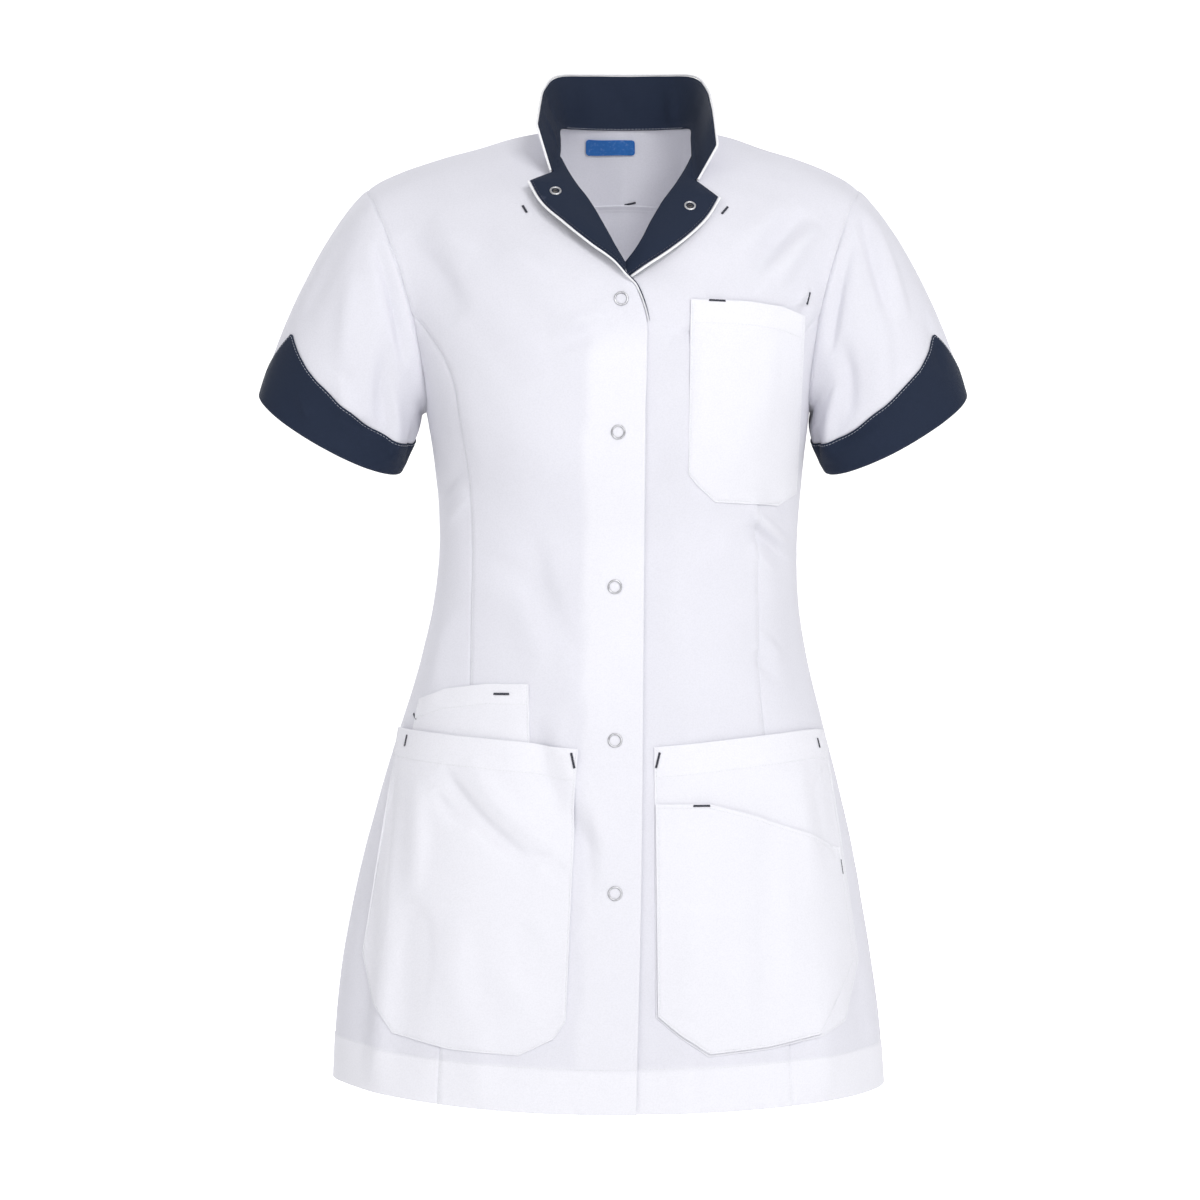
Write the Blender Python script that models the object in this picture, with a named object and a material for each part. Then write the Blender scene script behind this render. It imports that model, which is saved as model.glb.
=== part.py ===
"""Short-sleeved medical jacket in the form it takes when worn, hollow.

The tables are in millimetres, and MM turns them into Blender's metres. +Z is up, the front faces -Y and
+X is the wearer's left. The origin is the base of the neck, where the wearer holds the jacket up.
Sides are the wearer's: RIGHT is at -X. The right front lies over the left one.
"""

import math

import bmesh
import bpy
import numpy as np
from mathutils import Vector
from mathutils.bvhtree import BVHTree

MM = 0.001
RIGHT, LEFT = -1, 1

# Cloth
WALL = 1.5
LAYER = 1.2
GAP = 0.3
# Half the gap at a flat seam, and at the shoulder's ridge
SEAM_INSET, RIDGE_INSET = 0.32, 0.5

# Heights
HEM = -709.0
UNDERARM = -200.0
PRINCESS_TOP = -131.0
SIDE_FRONT_END = 0.985
HEM_RISE_RIGHT, HEM_RISE_LEFT = 13.0, 8.0
# The hem's rise fades out at this height, and is full this far from the centre
HEM_RISE_TOP, HEM_RISE_OUT = -400.0, 200.0

# Body sections: height, sideways place of the centre, half width, depth of the front and of the back
BODY = np.array((
    (-712.0, -3.5, 205.5, 130.0, 127.0),
    (-660.0, -4.0, 202.5, 129.0, 127.0),
    (-600.0, -4.5, 195.0, 127.0, 125.0),
    (-540.0, -3.5, 184.5, 123.0, 121.0),
    (-480.0, -2.0, 170.0, 117.0, 114.0),
    (-430.0, -0.5, 156.0, 109.0, 105.0),
    (-385.0, 1.0, 144.0, 101.0, 96.0),
    (-340.0, 2.5, 135.5, 96.0, 89.0),
    (-296.0, 4.0, 133.0, 97.0, 89.0),
    (-260.0, 4.5, 135.0, 107.0, 95.0),
    (-225.0, 4.0, 139.0, 115.0, 102.0),
    (-200.0, 3.5, 142.5, 116.0, 106.0),
))
SECTION_ROUND = 2.25

# Bust fullness, on each side of its middle: how far out, height, spread and depth
BUST_MIDDLE, BUST_OUT, BUST_Z, BUST_SPREAD, BUST_DEPTH = 3.0, 78.0, -222.0, 31.0, 8.0
# Folds and fullness fade where the front turns to the side, nearer the middle than this
FACING_DEPTH = 50.0

# Princess seam: height and distance from the centre line
PRINCESS = np.array((
    (-712.0, 128.0),
    (-669.0, 126.0),
    (-560.0, 118.0),
    (-450.0, 110.0),
    (-408.0, 106.0),
    (-341.0, 105.0),
    (-300.0, 104.0),
    (-270.0, 105.0),
    (-227.0, 110.0),
    (-200.0, 114.5),
))

# Front edge of the right front: height and place across; the left front reaches UNDERLAP further under it
FRONT_EDGE = np.array((
    (-712.0, 16.0),
    (-540.0, 20.0),
    (-400.0, 21.5),
    (-200.0, 23.0),
))
UNDERLAP = 41.0
UNDERLAP_START, UNDERLAP_FADE = 4.0, 36.0
UNDERLAP_DROP = 2.8

# Neck: the roll line of the open front from its foot up, then the neck seam to the centre back
# Columns: distance out from the neck's centre, depth, height
NECK_CENTRE = 9.5
ROLL_LINE = (
    (10.0, -94.0, -84.0),
    (20.0, -81.0, -65.0),
    (29.0, -68.0, -49.0),
    (38.0, -56.0, -36.0),
    (44.0, -42.0, -25.0),
    (49.5, -24.0, -12.0),
)
NECK_SIDE = (
    (51.5, -4.0, 3.0),
    (52.5, 11.0, 12.0),
)
BACK_NECK = (
    (44.0, 38.0, 17.5),
    (24.0, 57.0, 19.5),
    (0.0, 62.0, 20.0),
)
# The front edges between the underarm height and the foot of the roll line, place across, depth, height
RIGHT_EDGE_TOP = (
    (23.0, -116.0, -200.0),
    (24.0, -111.5, -165.0),
    (23.5, -108.5, -138.0),
    (18.5, -106.5, -121.0),
    (10.5, -103.0, -105.0),
)
LEFT_EDGE_TOP = (
    (-18.0, -116.0, -200.0),
    (-17.0, -111.5, -165.0),
    (-14.0, -108.0, -135.0),
    (-4.0, -105.5, -115.0),
    (9.0, -100.0, -101.0),
)

# Armhole and shoulder ridge: distance out, depth, height
FRONT_ARMHOLE = (
    (142.5, 0.0, -200.0),
    (140.5, -28.0, -190.0),
    (143.5, -46.0, -165.0),
    (149.0, -54.0, -135.0),
    (157.0, -54.0, -104.0),
    (167.0, -45.0, -74.0),
    (178.0, -25.0, -46.0),
    (184.0, 0.0, -34.0),
)
BACK_ARMHOLE = (
    (142.5, 0.0, -200.0),
    (141.0, 30.0, -189.0),
    (145.0, 52.0, -160.0),
    (151.0, 61.0, -129.0),
    (159.0, 61.0, -98.0),
    (168.0, 51.0, -70.0),
    (178.0, 28.0, -45.0),
    (184.0, 0.0, -34.0),
)
SHOULDER = (
    (52.5, 11.0, 12.0),
    (82.0, 9.0, 6.0),
    (106.0, 7.0, -2.0),
    (136.0, 4.0, -11.0),
    (161.0, 2.0, -20.5),
    (175.0, 1.0, -27.5),
    (184.0, 0.0, -34.0),
)
ARMHOLE_SHIFT = 3.5
# Centre back above the underarm height: place across, depth, height
CENTRE_BACK = (
    (3.5, 106.0, -200.0),
    (4.0, 105.0, -150.0),
    (5.0, 100.0, -100.0),
    (6.5, 89.0, -50.0),
    (8.0, 76.0, -10.0),
    (9.5, 62.0, 20.0),
)
YOKE_SEAM, YOKE_DROP = -39.0, 32.0
# How strongly the cloth turns over the shoulder and into the back of the neck
SHOULDER_TURN, NECK_TURN = 190.0, 0.8

# Soft folds of the fronts: from and to across and up, half width, depth outwards
FOLDS = np.array((
    (168.0, -62.0, 62.0, -138.0, 13.0, 2.6),
    (150.0, -105.0, 88.0, -170.0, 11.0, -2.2),
    (-84.0, -88.0, -12.0, -148.0, 13.0, 2.4),
    (-120.0, -120.0, -60.0, -190.0, 12.0, -2.0),
    (-118.0, -170.0, -92.0, -262.0, 11.0, 2.2),
    (-58.0, -330.0, -8.0, -446.0, 15.0, 2.8),
    (-100.0, -300.0, -40.0, -350.0, 10.0, -1.8),
    (98.0, -285.0, 52.0, -330.0, 10.0, 2.0),
    (104.0, -330.0, 60.0, -362.0, 9.0, -1.8),
    (-168.0, -470.0, -172.0, -650.0, 12.0, 2.6),
    (-148.0, -520.0, -152.0, -700.0, 11.0, -2.4),
    (156.0, -560.0, 160.0, -705.0, 13.0, 2.4),
    (40.0, -560.0, 34.0, -706.0, 20.0, -2.0),
))

# Sleeve: hem loop's outer and inner ends (out, height), depth of its centre, half depth, dip of its front
SLEEVE_OUTER = (262.0, -186.0)
SLEEVE_INNER = (160.0, -244.0)
SLEEVE_CENTRE_Y = -6.0
SLEEVE_HALF_DEPTH = 42.0
SLEEVE_FRONT_DIP = 12.0
SLEEVE_START, SLEEVE_UNDER_GAP = 1.0, 1.0
# How the top, front, underside, back and top again set off from the armhole: direction out, along Y, up,
# and reach
SLEEVE_STARTS = (
    (0.72, 0.0, -0.69, 46.0),
    (0.80, -0.42, -0.43, 44.0),
    (0.96, 0.0, -0.28, 8.0),
    (0.80, 0.42, -0.43, 44.0),
    (0.72, 0.0, -0.69, 46.0),
)
# How the same five arrive at the hem: direction out, along Y, up, and reach
SLEEVE_ENDS = (
    (0.24, 0.0, -0.97, 46.0),
    (0.49, 0.0, -0.87, 45.0),
    (0.50, 0.0, -0.87, 45.0),
    (0.49, 0.0, -0.87, 45.0),
    (0.24, 0.0, -0.97, 46.0),
)
# Cuff height along the sleeve by turn round it, 0 at the outer line and 180 at the inner one
CUFF_HEIGHT = np.array((
    (0.0, 10.0),
    (15.0, 31.0),
    (30.0, 56.0),
    (45.0, 48.5),
    (60.0, 42.0),
    (95.0, 33.0),
    (140.0, 25.0),
    (180.0, 23.0),
))

CUFF_STAND = 0.8

# Collar from the centre back to the front end: seam out, y, z, rim out, y, z
COLLAR = (
    (0.0, 62.0, 21.1, 0.0, 67.0, 61.0),
    (24.0, 57.0, 20.6, 30.0, 62.0, 60.5),
    (42.0, 40.0, 19.0, 52.5, 42.0, 56.5),
    (51.5, 12.0, 14.4, 61.5, 14.0, 42.5),
    (51.5, -8.0, 3.4, 63.5, -12.0, 29.5),
    (51.5, -28.0, -9.5, 64.5, -33.0, 18.5),
)
# Front ends of the collar, one row for the right side and one for the left
COLLAR_END = {
    RIGHT: (55.0, -51.0, -26.0, 65.5, -52.0, 8.0),
    LEFT: (52.0, -55.0, -33.0, 66.5, -54.0, -7.0),
}

# Lapels: notch, then the free edge from its point down to the foot of the opening: out, depth, height
LAPEL_EDGE = {
    RIGHT: (
        (70.5, -63.0, -34.5),
        (60.8, -78.0, -51.5),
        (44.0, -92.0, -67.5),
        (24.5, -102.5, -84.0),
        (8.0, -108.2, -97.0),
        (-1.0, -108.4, -107.0),
    ),
    LEFT: (
        (67.0, -68.0, -47.0),
        (58.0, -80.0, -62.0),
        (47.5, -90.0, -73.5),
        (28.5, -101.5, -89.0),
        (13.0, -105.5, -99.5),
        (2.0, -103.6, -107.0),
    ),
}
LAPEL_FOOT = {RIGHT: (-0.4, -102.7, -101.5), LEFT: (-3.0, -97.6, -101.5)}
# How far down its edge each lapel ends
LAPEL_END = {RIGHT: 0.975, LEFT: 0.965}
# Where the lapel's seam with the collar starts, as a share of the collar's length from its front end
LAPEL_SEAM_START, LAPEL_SEAM_GAP = 0.09, 2.1
# How far down the roll line the notch and the lapel's point stand
LAPEL_CORNERS = {RIGHT: (0.22, 0.34), LEFT: (0.27, 0.40)}
# A lapel bellies out fully where it is at least this wide
LAPEL_WIDE = 25.0
LAPEL_BELLY = 2.5
LAPEL_LIFT = 3.0

PIPING_RADIUS, PIPING_GAP = 0.9, 0.5
# How far the collar's piping ends above the lapels
PIPING_TRIM = 2.0
# Heights between which the piping goes on down the right front's edge
EDGE_PIPING = (-113.0, -140.0)
SNAP_RADIUS, SNAP_WIRE = 4.6, 0.75
# Front snaps: place across and height
FRONT_SNAPS = (
    (5.5, -124.0),
    (3.3, -220.5),
    (1.0, -331.5),
    (1.0, -442.0),
    (1.0, -551.0),
)
# Lapel snaps: places across and down the lapel, 0 to 1
LAPEL_SNAPS = {RIGHT: (0.63, 0.37), LEFT: (0.56, 0.395)}

# Pockets: columns from the viewer's left to right, each across and up at the top, then at the bottom
CHEST_POCKET = (
    (55.5, -124.0, 53.5, -250.0),
    (61.0, -124.5, 60.0, -258.0),
    (73.0, -124.5, 73.0, -270.0),
    (99.0, -125.0, 97.0, -271.0),
    (122.0, -127.5, 120.0, -271.5),
    (139.0, -133.0, 134.5, -262.0),
)
HIP_POCKET_RIGHT = (
    (-155.5, -436.0, -183.0, -600.0),
    (-149.0, -437.0, -174.0, -634.0),
    (-138.0, -438.0, -160.0, -655.0),
    (-110.0, -440.5, -117.0, -664.0),
    (-70.0, -443.5, -68.0, -667.0),
    (-45.0, -446.0, -43.0, -655.0),
    (-26.0, -449.0, -34.0, -642.0),
)
HIP_POCKET_LEFT = (
    (29.0, -447.0, 30.0, -640.0),
    (45.0, -446.0, 47.0, -654.0),
    (66.0, -444.0, 68.0, -668.0),
    (105.0, -440.0, 112.0, -664.0),
    (135.0, -437.0, 150.0, -657.0),
    (148.0, -436.5, 168.0, -648.0),
    (154.5, -438.0, 180.0, -605.0),
)
UPPER_POCKET = (
    (-142.0, -414.0, -150.0, -452.0),
    (-122.0, -406.0, -128.0, -455.0),
    (-91.0, -402.0, -91.0, -457.0),
    (-61.0, -402.0, -60.0, -459.0),
)
PHONE_POCKET = (
    (30.0, -488.0, 31.5, -639.0),
    (46.0, -488.0, 48.0, -652.5),
    (68.0, -488.0, 69.0, -666.0),
    (105.0, -498.0, 112.0, -662.0),
    (137.0, -511.0, 149.0, -655.0),
    (163.0, -523.0, 174.0, -606.0),
)
POCKET_REST = WALL / 2 + 0.5
HIP_POCKET_STAND, CHEST_POCKET_STAND, PHONE_POCKET_STAND = 1.4, 0.6, 0.9
HIP_PUFF, CHEST_PUFF = 2.0, 1.4
UPPER_POCKET_REST, UPPER_POCKET_THICKNESS = WALL / 2 + 0.6, 1.0

# Label inside the yoke: across, height, half width, half height
LABEL = (-2.0, 7.0, 19.0, 5.5)
LABEL_STAND, LABEL_THICKNESS = 1.2, 1.0

# A distance beyond the front of the jacket
IN_FRONT = 400.0

# Numbers of facets
BODY_ROWS, YOKE_ROWS, CHEST_ROWS = 19, 6, 9
FRONT_COLUMNS, SIDE_COLUMNS, BACK_COLUMNS = 9, 4, 9
SLEEVE_ROWS, SLEEVE_COLUMNS, CUFF_ROWS = 7, 24, 3
COLLAR_COLUMNS, COLLAR_ROWS = 22, 3
LAPEL_ROWS, LAPEL_COLUMNS = (2, 1, 7), 4
POCKET_ROWS, POCKET_SPLITS = 7, 2
EDGE_PIPING_STEPS = 6
FINE_ROWS, FINE_COLUMNS = 70, 48

WHITE = (0.84, 0.85, 0.90)
NAVY = (0.030, 0.036, 0.062)
PIPING_WHITE = (0.90, 0.90, 0.92)
LABEL_BLUE = (0.03, 0.16, 0.50)
STEEL = (0.62, 0.62, 0.62)


def clear_scene():
    for obj in list(bpy.data.objects):
        bpy.data.objects.remove(obj, do_unlink=True)


def material(name, colour, roughness, metallic=0.0):
    made = bpy.data.materials.new(name)
    made.use_nodes = True
    shader = made.node_tree.nodes["Principled BSDF"]
    shader.inputs["Base Color"].default_value = (*colour, 1.0)
    shader.inputs["Roughness"].default_value = roughness
    shader.inputs["Metallic"].default_value = metallic
    return made


def through(knots, values, at):
    """A smooth curve through the values at the rising knots, read at the places at."""
    knots = np.asarray(knots, float)
    values = np.asarray(values, float)
    at = np.clip(np.asarray(at, float), knots[0], knots[-1])
    slopes = np.gradient(values, knots, axis=0)
    index = np.clip(np.searchsorted(knots, at, side="right") - 1, 0, len(knots) - 2)
    span = knots[index + 1] - knots[index]
    t = (at - knots[index]) / span
    if values.ndim == 2:
        span = span[..., None]
        t = t[..., None]
    start, end = values[index], values[index + 1]
    rise, fall = slopes[index] * span, slopes[index + 1] * span
    return (
        (2 * t**3 - 3 * t**2 + 1) * start
        + (t**3 - 2 * t**2 + t) * rise
        + (3 * t**2 - 2 * t**3) * end
        + (t**3 - t**2) * fall
    )


class Line:
    """A smooth line through points, read by fraction of its length."""

    def __init__(self, points):
        self.points = np.asarray(points, float)
        steps = np.linalg.norm(np.diff(self.points, axis=0), axis=1)
        self.length = steps.sum()
        self.knots = np.concatenate(([0.0], np.cumsum(steps))) / self.length

    def at(self, fraction):
        return through(self.knots, self.points, fraction)

    def heading(self, fraction):
        """The line's direction at a fraction, as long as the line."""
        step = 0.01
        low, high = max(0.0, fraction - step), min(1.0, fraction + step)
        return (self.at(high) - self.at(low)) / (high - low)

    def fraction_at_height(self, height):
        fractions = np.linspace(0.0, 1.0, 400)
        return fractions[np.argmin(np.abs(self.at(fractions)[:, 2] - height))]


def placed(side, rows, shift):
    """Rows of out, depth and height as points on one side, moved sideways by shift."""
    points = np.array(rows, float)
    points[:, 0] = side * points[:, 0] + shift
    return points


def resampled(points, count):
    """The same line with its points at even distances."""
    steps = np.linalg.norm(np.diff(points, axis=0), axis=1)
    along = np.concatenate(([0.0], np.cumsum(steps)))
    wanted = np.linspace(0.0, along[-1], count)
    return np.stack([np.interp(wanted, along, points[:, axis]) for axis in range(3)], axis=1)


# Body below the underarm


def body_point(side, turn, height):
    """Middle of the cloth: turn is 0 at the centre front, 1 at the side and 2 at the centre back."""
    turn = np.asarray(turn, float)
    height = np.broadcast_to(np.asarray(height, float), turn.shape)
    centre, half_width, front, back = (
        through(BODY[:, 0], BODY[:, column], height) for column in range(1, 5)
    )
    across, along = np.sin(turn * math.pi / 2), np.cos(turn * math.pi / 2)
    power = 2 / SECTION_ROUND
    x = centre + side * half_width * np.sign(across) * np.abs(across) ** power
    depth = np.where(turn <= 1, -front, back)
    y = depth * np.abs(along) ** power
    return np.stack([x, y, height], axis=-1)


def turn_at(side, x, height):
    """The turn of the front whose point is at x."""
    centre = through(BODY[:, 0], BODY[:, 1], height)
    half_width = through(BODY[:, 0], BODY[:, 2], height)
    across = np.clip(side * (x - centre) / half_width, -1, 1)
    return math.asin(np.sign(across) * abs(across) ** (SECTION_ROUND / 2)) * 2 / math.pi


def body_run(side, height, start, end, count):
    fine = body_point(side, np.linspace(start, end, 160), height)
    return resampled(fine, count)


def front_edge_x(side, height):
    x = through(FRONT_EDGE[:, 0], FRONT_EDGE[:, 1], height)
    return x if side == RIGHT else x - UNDERLAP


def princess_x(side, height):
    return side * through(PRINCESS[:, 0], PRINCESS[:, 1], height) + 1.0


def body_heights(count):
    return np.linspace(HEM, UNDERARM, count)


def lifted_hem(points):
    """The hem rises a little from the centre front to the sides."""
    low = np.clip((HEM_RISE_TOP - points[..., 2]) / (HEM_RISE_TOP - HEM), 0, 1)
    out = np.clip(np.abs(points[..., 0]) / HEM_RISE_OUT, 0, 1)
    rise = np.where(points[..., 0] < 0, HEM_RISE_RIGHT, HEM_RISE_LEFT)
    points = points.copy()
    points[..., 2] += rise * low**3 * out**2
    return points


def shaped_front(points):
    """Bust fullness and soft folds, which move the front forwards or back."""
    points = points.copy()
    x, z = points[..., 0], points[..., 2]
    facing = np.clip(-points[..., 1] / FACING_DEPTH, 0, 1)
    forward = np.zeros(x.shape)
    for side in (RIGHT, LEFT):
        away = (x - side * BUST_OUT - BUST_MIDDLE) ** 2 + (z - BUST_Z) ** 2
        forward += BUST_DEPTH * np.exp(-away / (2 * BUST_SPREAD**2))
    for x0, z0, x1, z1, half_width, depth in FOLDS:
        length = math.hypot(x1 - x0, z1 - z0)
        along_x, along_z = (x1 - x0) / length, (z1 - z0) / length
        along = ((x - x0) * along_x + (z - z0) * along_z) / length
        beside = ((x - x0) * along_z - (z - z0) * along_x) / half_width
        ends = np.clip(1 - (2 * along - 1) ** 2, 0, 1)
        forward += depth * ends * np.exp(-(beside**2))
    points[..., 1] -= forward * facing
    return points


# Chest, shoulders and upper back


class UpperPatch:
    """The surface from the underarm height up to the shoulder, between an inner line and the armhole.

    u runs from the inner line (0) to the armhole (1), v from the underarm height (0) to the shoulder (1).
    """

    def __init__(self, side, front):
        self.side = side
        self.front = front
        neck_side = placed(side, NECK_SIDE, NECK_CENTRE)
        if front:
            edge = np.array(RIGHT_EDGE_TOP if side == RIGHT else LEFT_EDGE_TOP)
            roll = placed(side, ROLL_LINE, NECK_CENTRE)
            self.inner = Line(np.concatenate([edge, roll, neck_side]))
            self.start = turn_at(side, edge[0][0], UNDERARM)
        else:
            self.inner = Line(CENTRE_BACK)
            self.start = 2.0
        armhole = placed(side, FRONT_ARMHOLE if front else BACK_ARMHOLE, 0.0)
        armhole[:, 0] += ARMHOLE_SHIFT * (armhole[:, 2] - armhole[-1, 2]) / (UNDERARM - armhole[-1, 2])
        self.outer = Line(armhole)
        shoulder = placed(side, SHOULDER, 0.0)
        out = np.array(SHOULDER)[:, 0]
        shoulder[:, 0] += NECK_CENTRE * (out[-1] - out) / (out[-1] - out[0])
        self.ridge = Line(shoulder)
        self.back_neck = Line(placed(side, (*reversed(BACK_NECK), NECK_SIDE[-1]), NECK_CENTRE))
        self.neck_share = self.back_neck.length / (self.back_neck.length + self.ridge.length)
        neck_line = Line(np.concatenate([neck_side, placed(side, BACK_NECK, NECK_CENTRE)]))
        self.neck_arrival = neck_line.heading(neck_line.knots[1]) / neck_line.length * SHOULDER_TURN
        front_loop = placed(side, FRONT_ARMHOLE, 0.0)[-2]
        back_loop = placed(side, BACK_ARMHOLE, 0.0)[-2]
        over_top = back_loop - front_loop
        self.arm_arrival = over_top / np.linalg.norm(over_top) * SHOULDER_TURN

    def bottom(self, u):
        fine = body_point(self.side, np.linspace(self.start, 1.0, 160), UNDERARM)
        return Line(resampled(fine, 40)).at(u)

    def rise(self, u):
        """How the surface leaves the underarm height, as a tangent in v."""
        step = 8.0
        fine = np.linspace(self.start, 1.0, 160)
        low = resampled(body_point(self.side, fine, UNDERARM - step), 40)
        here = resampled(body_point(self.side, fine, UNDERARM), 40)
        up = Line(here).at(u) - Line(low).at(u)
        up = up / np.linalg.norm(up, axis=-1, keepdims=True)
        height = np.linalg.norm(self.top(u) - self.bottom(u), axis=-1, keepdims=True)
        share = (u**4)[:, None]
        return (1 - share) * up * height + share * self.outer.heading(0.0)

    def top(self, u):
        if self.front:
            return self.ridge.at(u)
        on_neck = np.clip(u / self.neck_share, 0, 1)
        on_ridge = np.clip((u - self.neck_share) / (1 - self.neck_share), 0, 1)
        return np.where((u < self.neck_share)[:, None], self.back_neck.at(on_neck), self.ridge.at(on_ridge))

    def arrival(self, u):
        """How the surface reaches the shoulder, as a tangent in v, so that front and back meet smoothly."""
        if self.front:
            share = u[:, None]
            return (1 - share) * self.neck_arrival + share * self.arm_arrival
        on_neck = np.clip(u / self.neck_share, 0, 1)[:, None]
        on_ridge = np.clip((u - self.neck_share) / (1 - self.neck_share), 0, 1)[:, None]
        over_ridge = -(1 - on_ridge) * self.neck_arrival - on_ridge * self.arm_arrival
        return (1 - on_neck) * self.inner.heading(1.0) * NECK_TURN + on_neck * over_ridge

    def spine(self, u, v):
        rise, arrival, v = self.rise(u), self.arrival(u), v[:, None]
        return (
            (2 * v**3 - 3 * v**2 + 1) * self.bottom(u)
            + (v**3 - 2 * v**2 + v) * rise
            + (3 * v**2 - 2 * v**3) * self.top(u)
            + (v**3 - v**2) * arrival
        )

    def row(self, u, v):
        u = np.asarray(u, float)
        v = np.broadcast_to(np.asarray(v, float), u.shape)
        at_inner = self.inner.at(v) - self.spine(np.zeros(u.shape), v)
        at_outer = self.outer.at(v) - self.spine(np.ones(u.shape), v)
        return self.spine(u, v) + (1 - u)[:, None] * at_inner + u[:, None] * at_outer

    def v_at_height(self, u, heights):
        """For each u, the v at which the surface reaches its height."""
        tries = np.linspace(0, 1, 120)
        found = []
        for place, height in zip(u, heights):
            line = self.row(np.full(tries.shape, place), tries)
            found.append(tries[np.argmin(np.abs(line[:, 2] - height))])
        return np.array(found)


class FrontForm:
    """One side of the front: the rows of its panels, from the hem up."""

    def __init__(self, side):
        self.side = side
        self.upper = UpperPatch(side, True)
        self.princess_end = self.upper.outer.fraction_at_height(PRINCESS_TOP)
        start = self.upper.start
        seam = turn_at(side, princess_x(side, UNDERARM), UNDERARM)
        fine = body_point(side, np.linspace(start, 1.0, 200), UNDERARM)
        along = np.concatenate(([0.0], np.cumsum(np.linalg.norm(np.diff(fine, axis=0), axis=1))))
        self.princess_start = np.interp(seam, np.linspace(start, 1.0, 200), along / along[-1])

    def princess_u(self, v):
        reach = min(v / self.princess_end, 1.0)
        return self.princess_start + (1 - self.princess_start) * reach**2

    def lower_row(self, height, centre_panel, count):
        seam = turn_at(self.side, princess_x(self.side, height), height)
        if centre_panel:
            start = turn_at(self.side, front_edge_x(self.side, height), height)
            return body_run(self.side, height, start, seam, count)
        return body_run(self.side, height, seam, 1.0, count)

    def centre_rows(self, count):
        lower = [self.lower_row(z, True, count) for z in body_heights(BODY_ROWS + 1)]
        upper = []
        for v in np.linspace(0, 1, CHEST_ROWS + 1)[1:]:
            upper.append(self.upper.row(np.linspace(0, self.princess_u(v), count), v))
        return self.layered(lifted_hem(shaped_front(np.array(lower + upper))))

    def side_rows(self, count):
        lower = [self.lower_row(z, False, count) for z in body_heights(BODY_ROWS + 1)]
        upper = []
        for v in np.linspace(0, self.princess_end * SIDE_FRONT_END, 5)[1:]:
            upper.append(self.upper.row(np.linspace(self.princess_u(v), 1, count), v))
        return lifted_hem(shaped_front(np.array(lower + upper)))

    def layered(self, points):
        """The left front steps back under the right one."""
        if self.side == RIGHT:
            return points
        points = points.copy()
        edge = through(FRONT_EDGE[:, 0], FRONT_EDGE[:, 1], points[..., 2]) + UNDERLAP_START
        under = np.clip(1 - (points[..., 0] - edge) / UNDERLAP_FADE, 0, 1)
        points[..., 1] += UNDERLAP_DROP * under * under * (3 - 2 * under)
        return points

    def whole_rows(self, count):
        """The whole side, from the centre line to the side seam, for what lies on it."""
        lower = [
            body_run(self.side, z, turn_at(self.side, front_edge_x(RIGHT, z), z), 1.0, count)
            for z in body_heights(FINE_ROWS)
        ]
        upper = [self.upper.row(np.linspace(0, 1, count), v) for v in np.linspace(0, 1, FINE_ROWS // 2)[1:]]
        return self.layered(lifted_hem(shaped_front(np.array(lower + upper))))


def back_row(height, count):
    right = body_run(RIGHT, height, 1.0, 2.0, count)
    left = body_run(LEFT, height, 1.0, 2.0, count)
    return np.concatenate([right, left[-2::-1]])


def upper_back_rows(patches, low, high, rows, count):
    """Rows of the upper back; low and high give v for each u."""
    u = np.linspace(1, 0, count)
    found = []
    for share in np.linspace(0, 1, rows):
        halves = []
        for side in (RIGHT, LEFT):
            start, end = low(patches[side], u), high(patches[side], u)
            halves.append(patches[side].row(u, start * (1 - share) + end * share))
        found.append(np.concatenate([halves[0], halves[1][-2::-1]]))
    return np.array(found)


def yoke_seam(patch, u):
    return patch.v_at_height(u, YOKE_SEAM - YOKE_DROP * u**2)


def underarm_line(_patch, u):
    return np.zeros(u.shape)


def shoulder_line(_patch, u):
    return np.ones(u.shape)


# Meshes


def unit(steps):
    return steps / np.linalg.norm(steps, axis=-1, keepdims=True)


def grid_normals(points, away_from):
    """Unit normals of a grid, on the side that faces away from the given points."""
    along = np.gradient(points, axis=1)
    up = np.gradient(points, axis=0)
    normals = np.cross(along, up)
    normals /= np.maximum(np.linalg.norm(normals, axis=-1, keepdims=True), 1e-9)
    if (normals * (points - away_from)).sum() < 0:
        normals = -normals
    return normals


def ring_normals(points):
    """Unit outward normals of a tube of rings, each ring closed."""
    along = np.roll(points, -1, axis=1) - np.roll(points, 1, axis=1)
    up = np.gradient(points, axis=0)
    normals = np.cross(along, up)
    normals /= np.maximum(np.linalg.norm(normals, axis=-1, keepdims=True), 1e-9)
    if (normals * (points - points.mean(axis=1, keepdims=True))).sum() < 0:
        normals = -normals
    return normals


def wall(name, inner, outer, look, closed=False):
    """A closed thin solid between two grids of the same size; closed joins the last column to the first."""
    rows, columns = inner.shape[:2]
    mesh = bmesh.new()
    low = [[mesh.verts.new(Vector(point) * MM) for point in row] for row in inner]
    high = [[mesh.verts.new(Vector(point) * MM) for point in row] for row in outer]
    for column in range(columns if closed else columns - 1):
        beside = (column + 1) % columns
        for row in range(rows - 1):
            for layer in (low, high):
                this, above = layer[row], layer[row + 1]
                mesh.faces.new((this[column], this[beside], above[beside], above[column]))
        for row in (0, rows - 1):
            mesh.faces.new((low[row][column], low[row][beside], high[row][beside], high[row][column]))
    if not closed:
        for column in (0, columns - 1):
            for row in range(rows - 1):
                ends = low[row][column], low[row + 1][column], high[row + 1][column], high[row][column]
                mesh.faces.new(ends)
    bmesh.ops.recalc_face_normals(mesh, faces=mesh.faces)
    return finished(name, mesh, look)


def finished(name, mesh, look):
    data = bpy.data.meshes.new(name)
    mesh.to_mesh(data)
    mesh.free()
    data.materials.append(look)
    data.shade_smooth()
    data.set_sharp_from_angle(angle=math.radians(50))
    made = bpy.data.objects.new(name, data)
    bpy.context.collection.objects.link(made)
    return made


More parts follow.
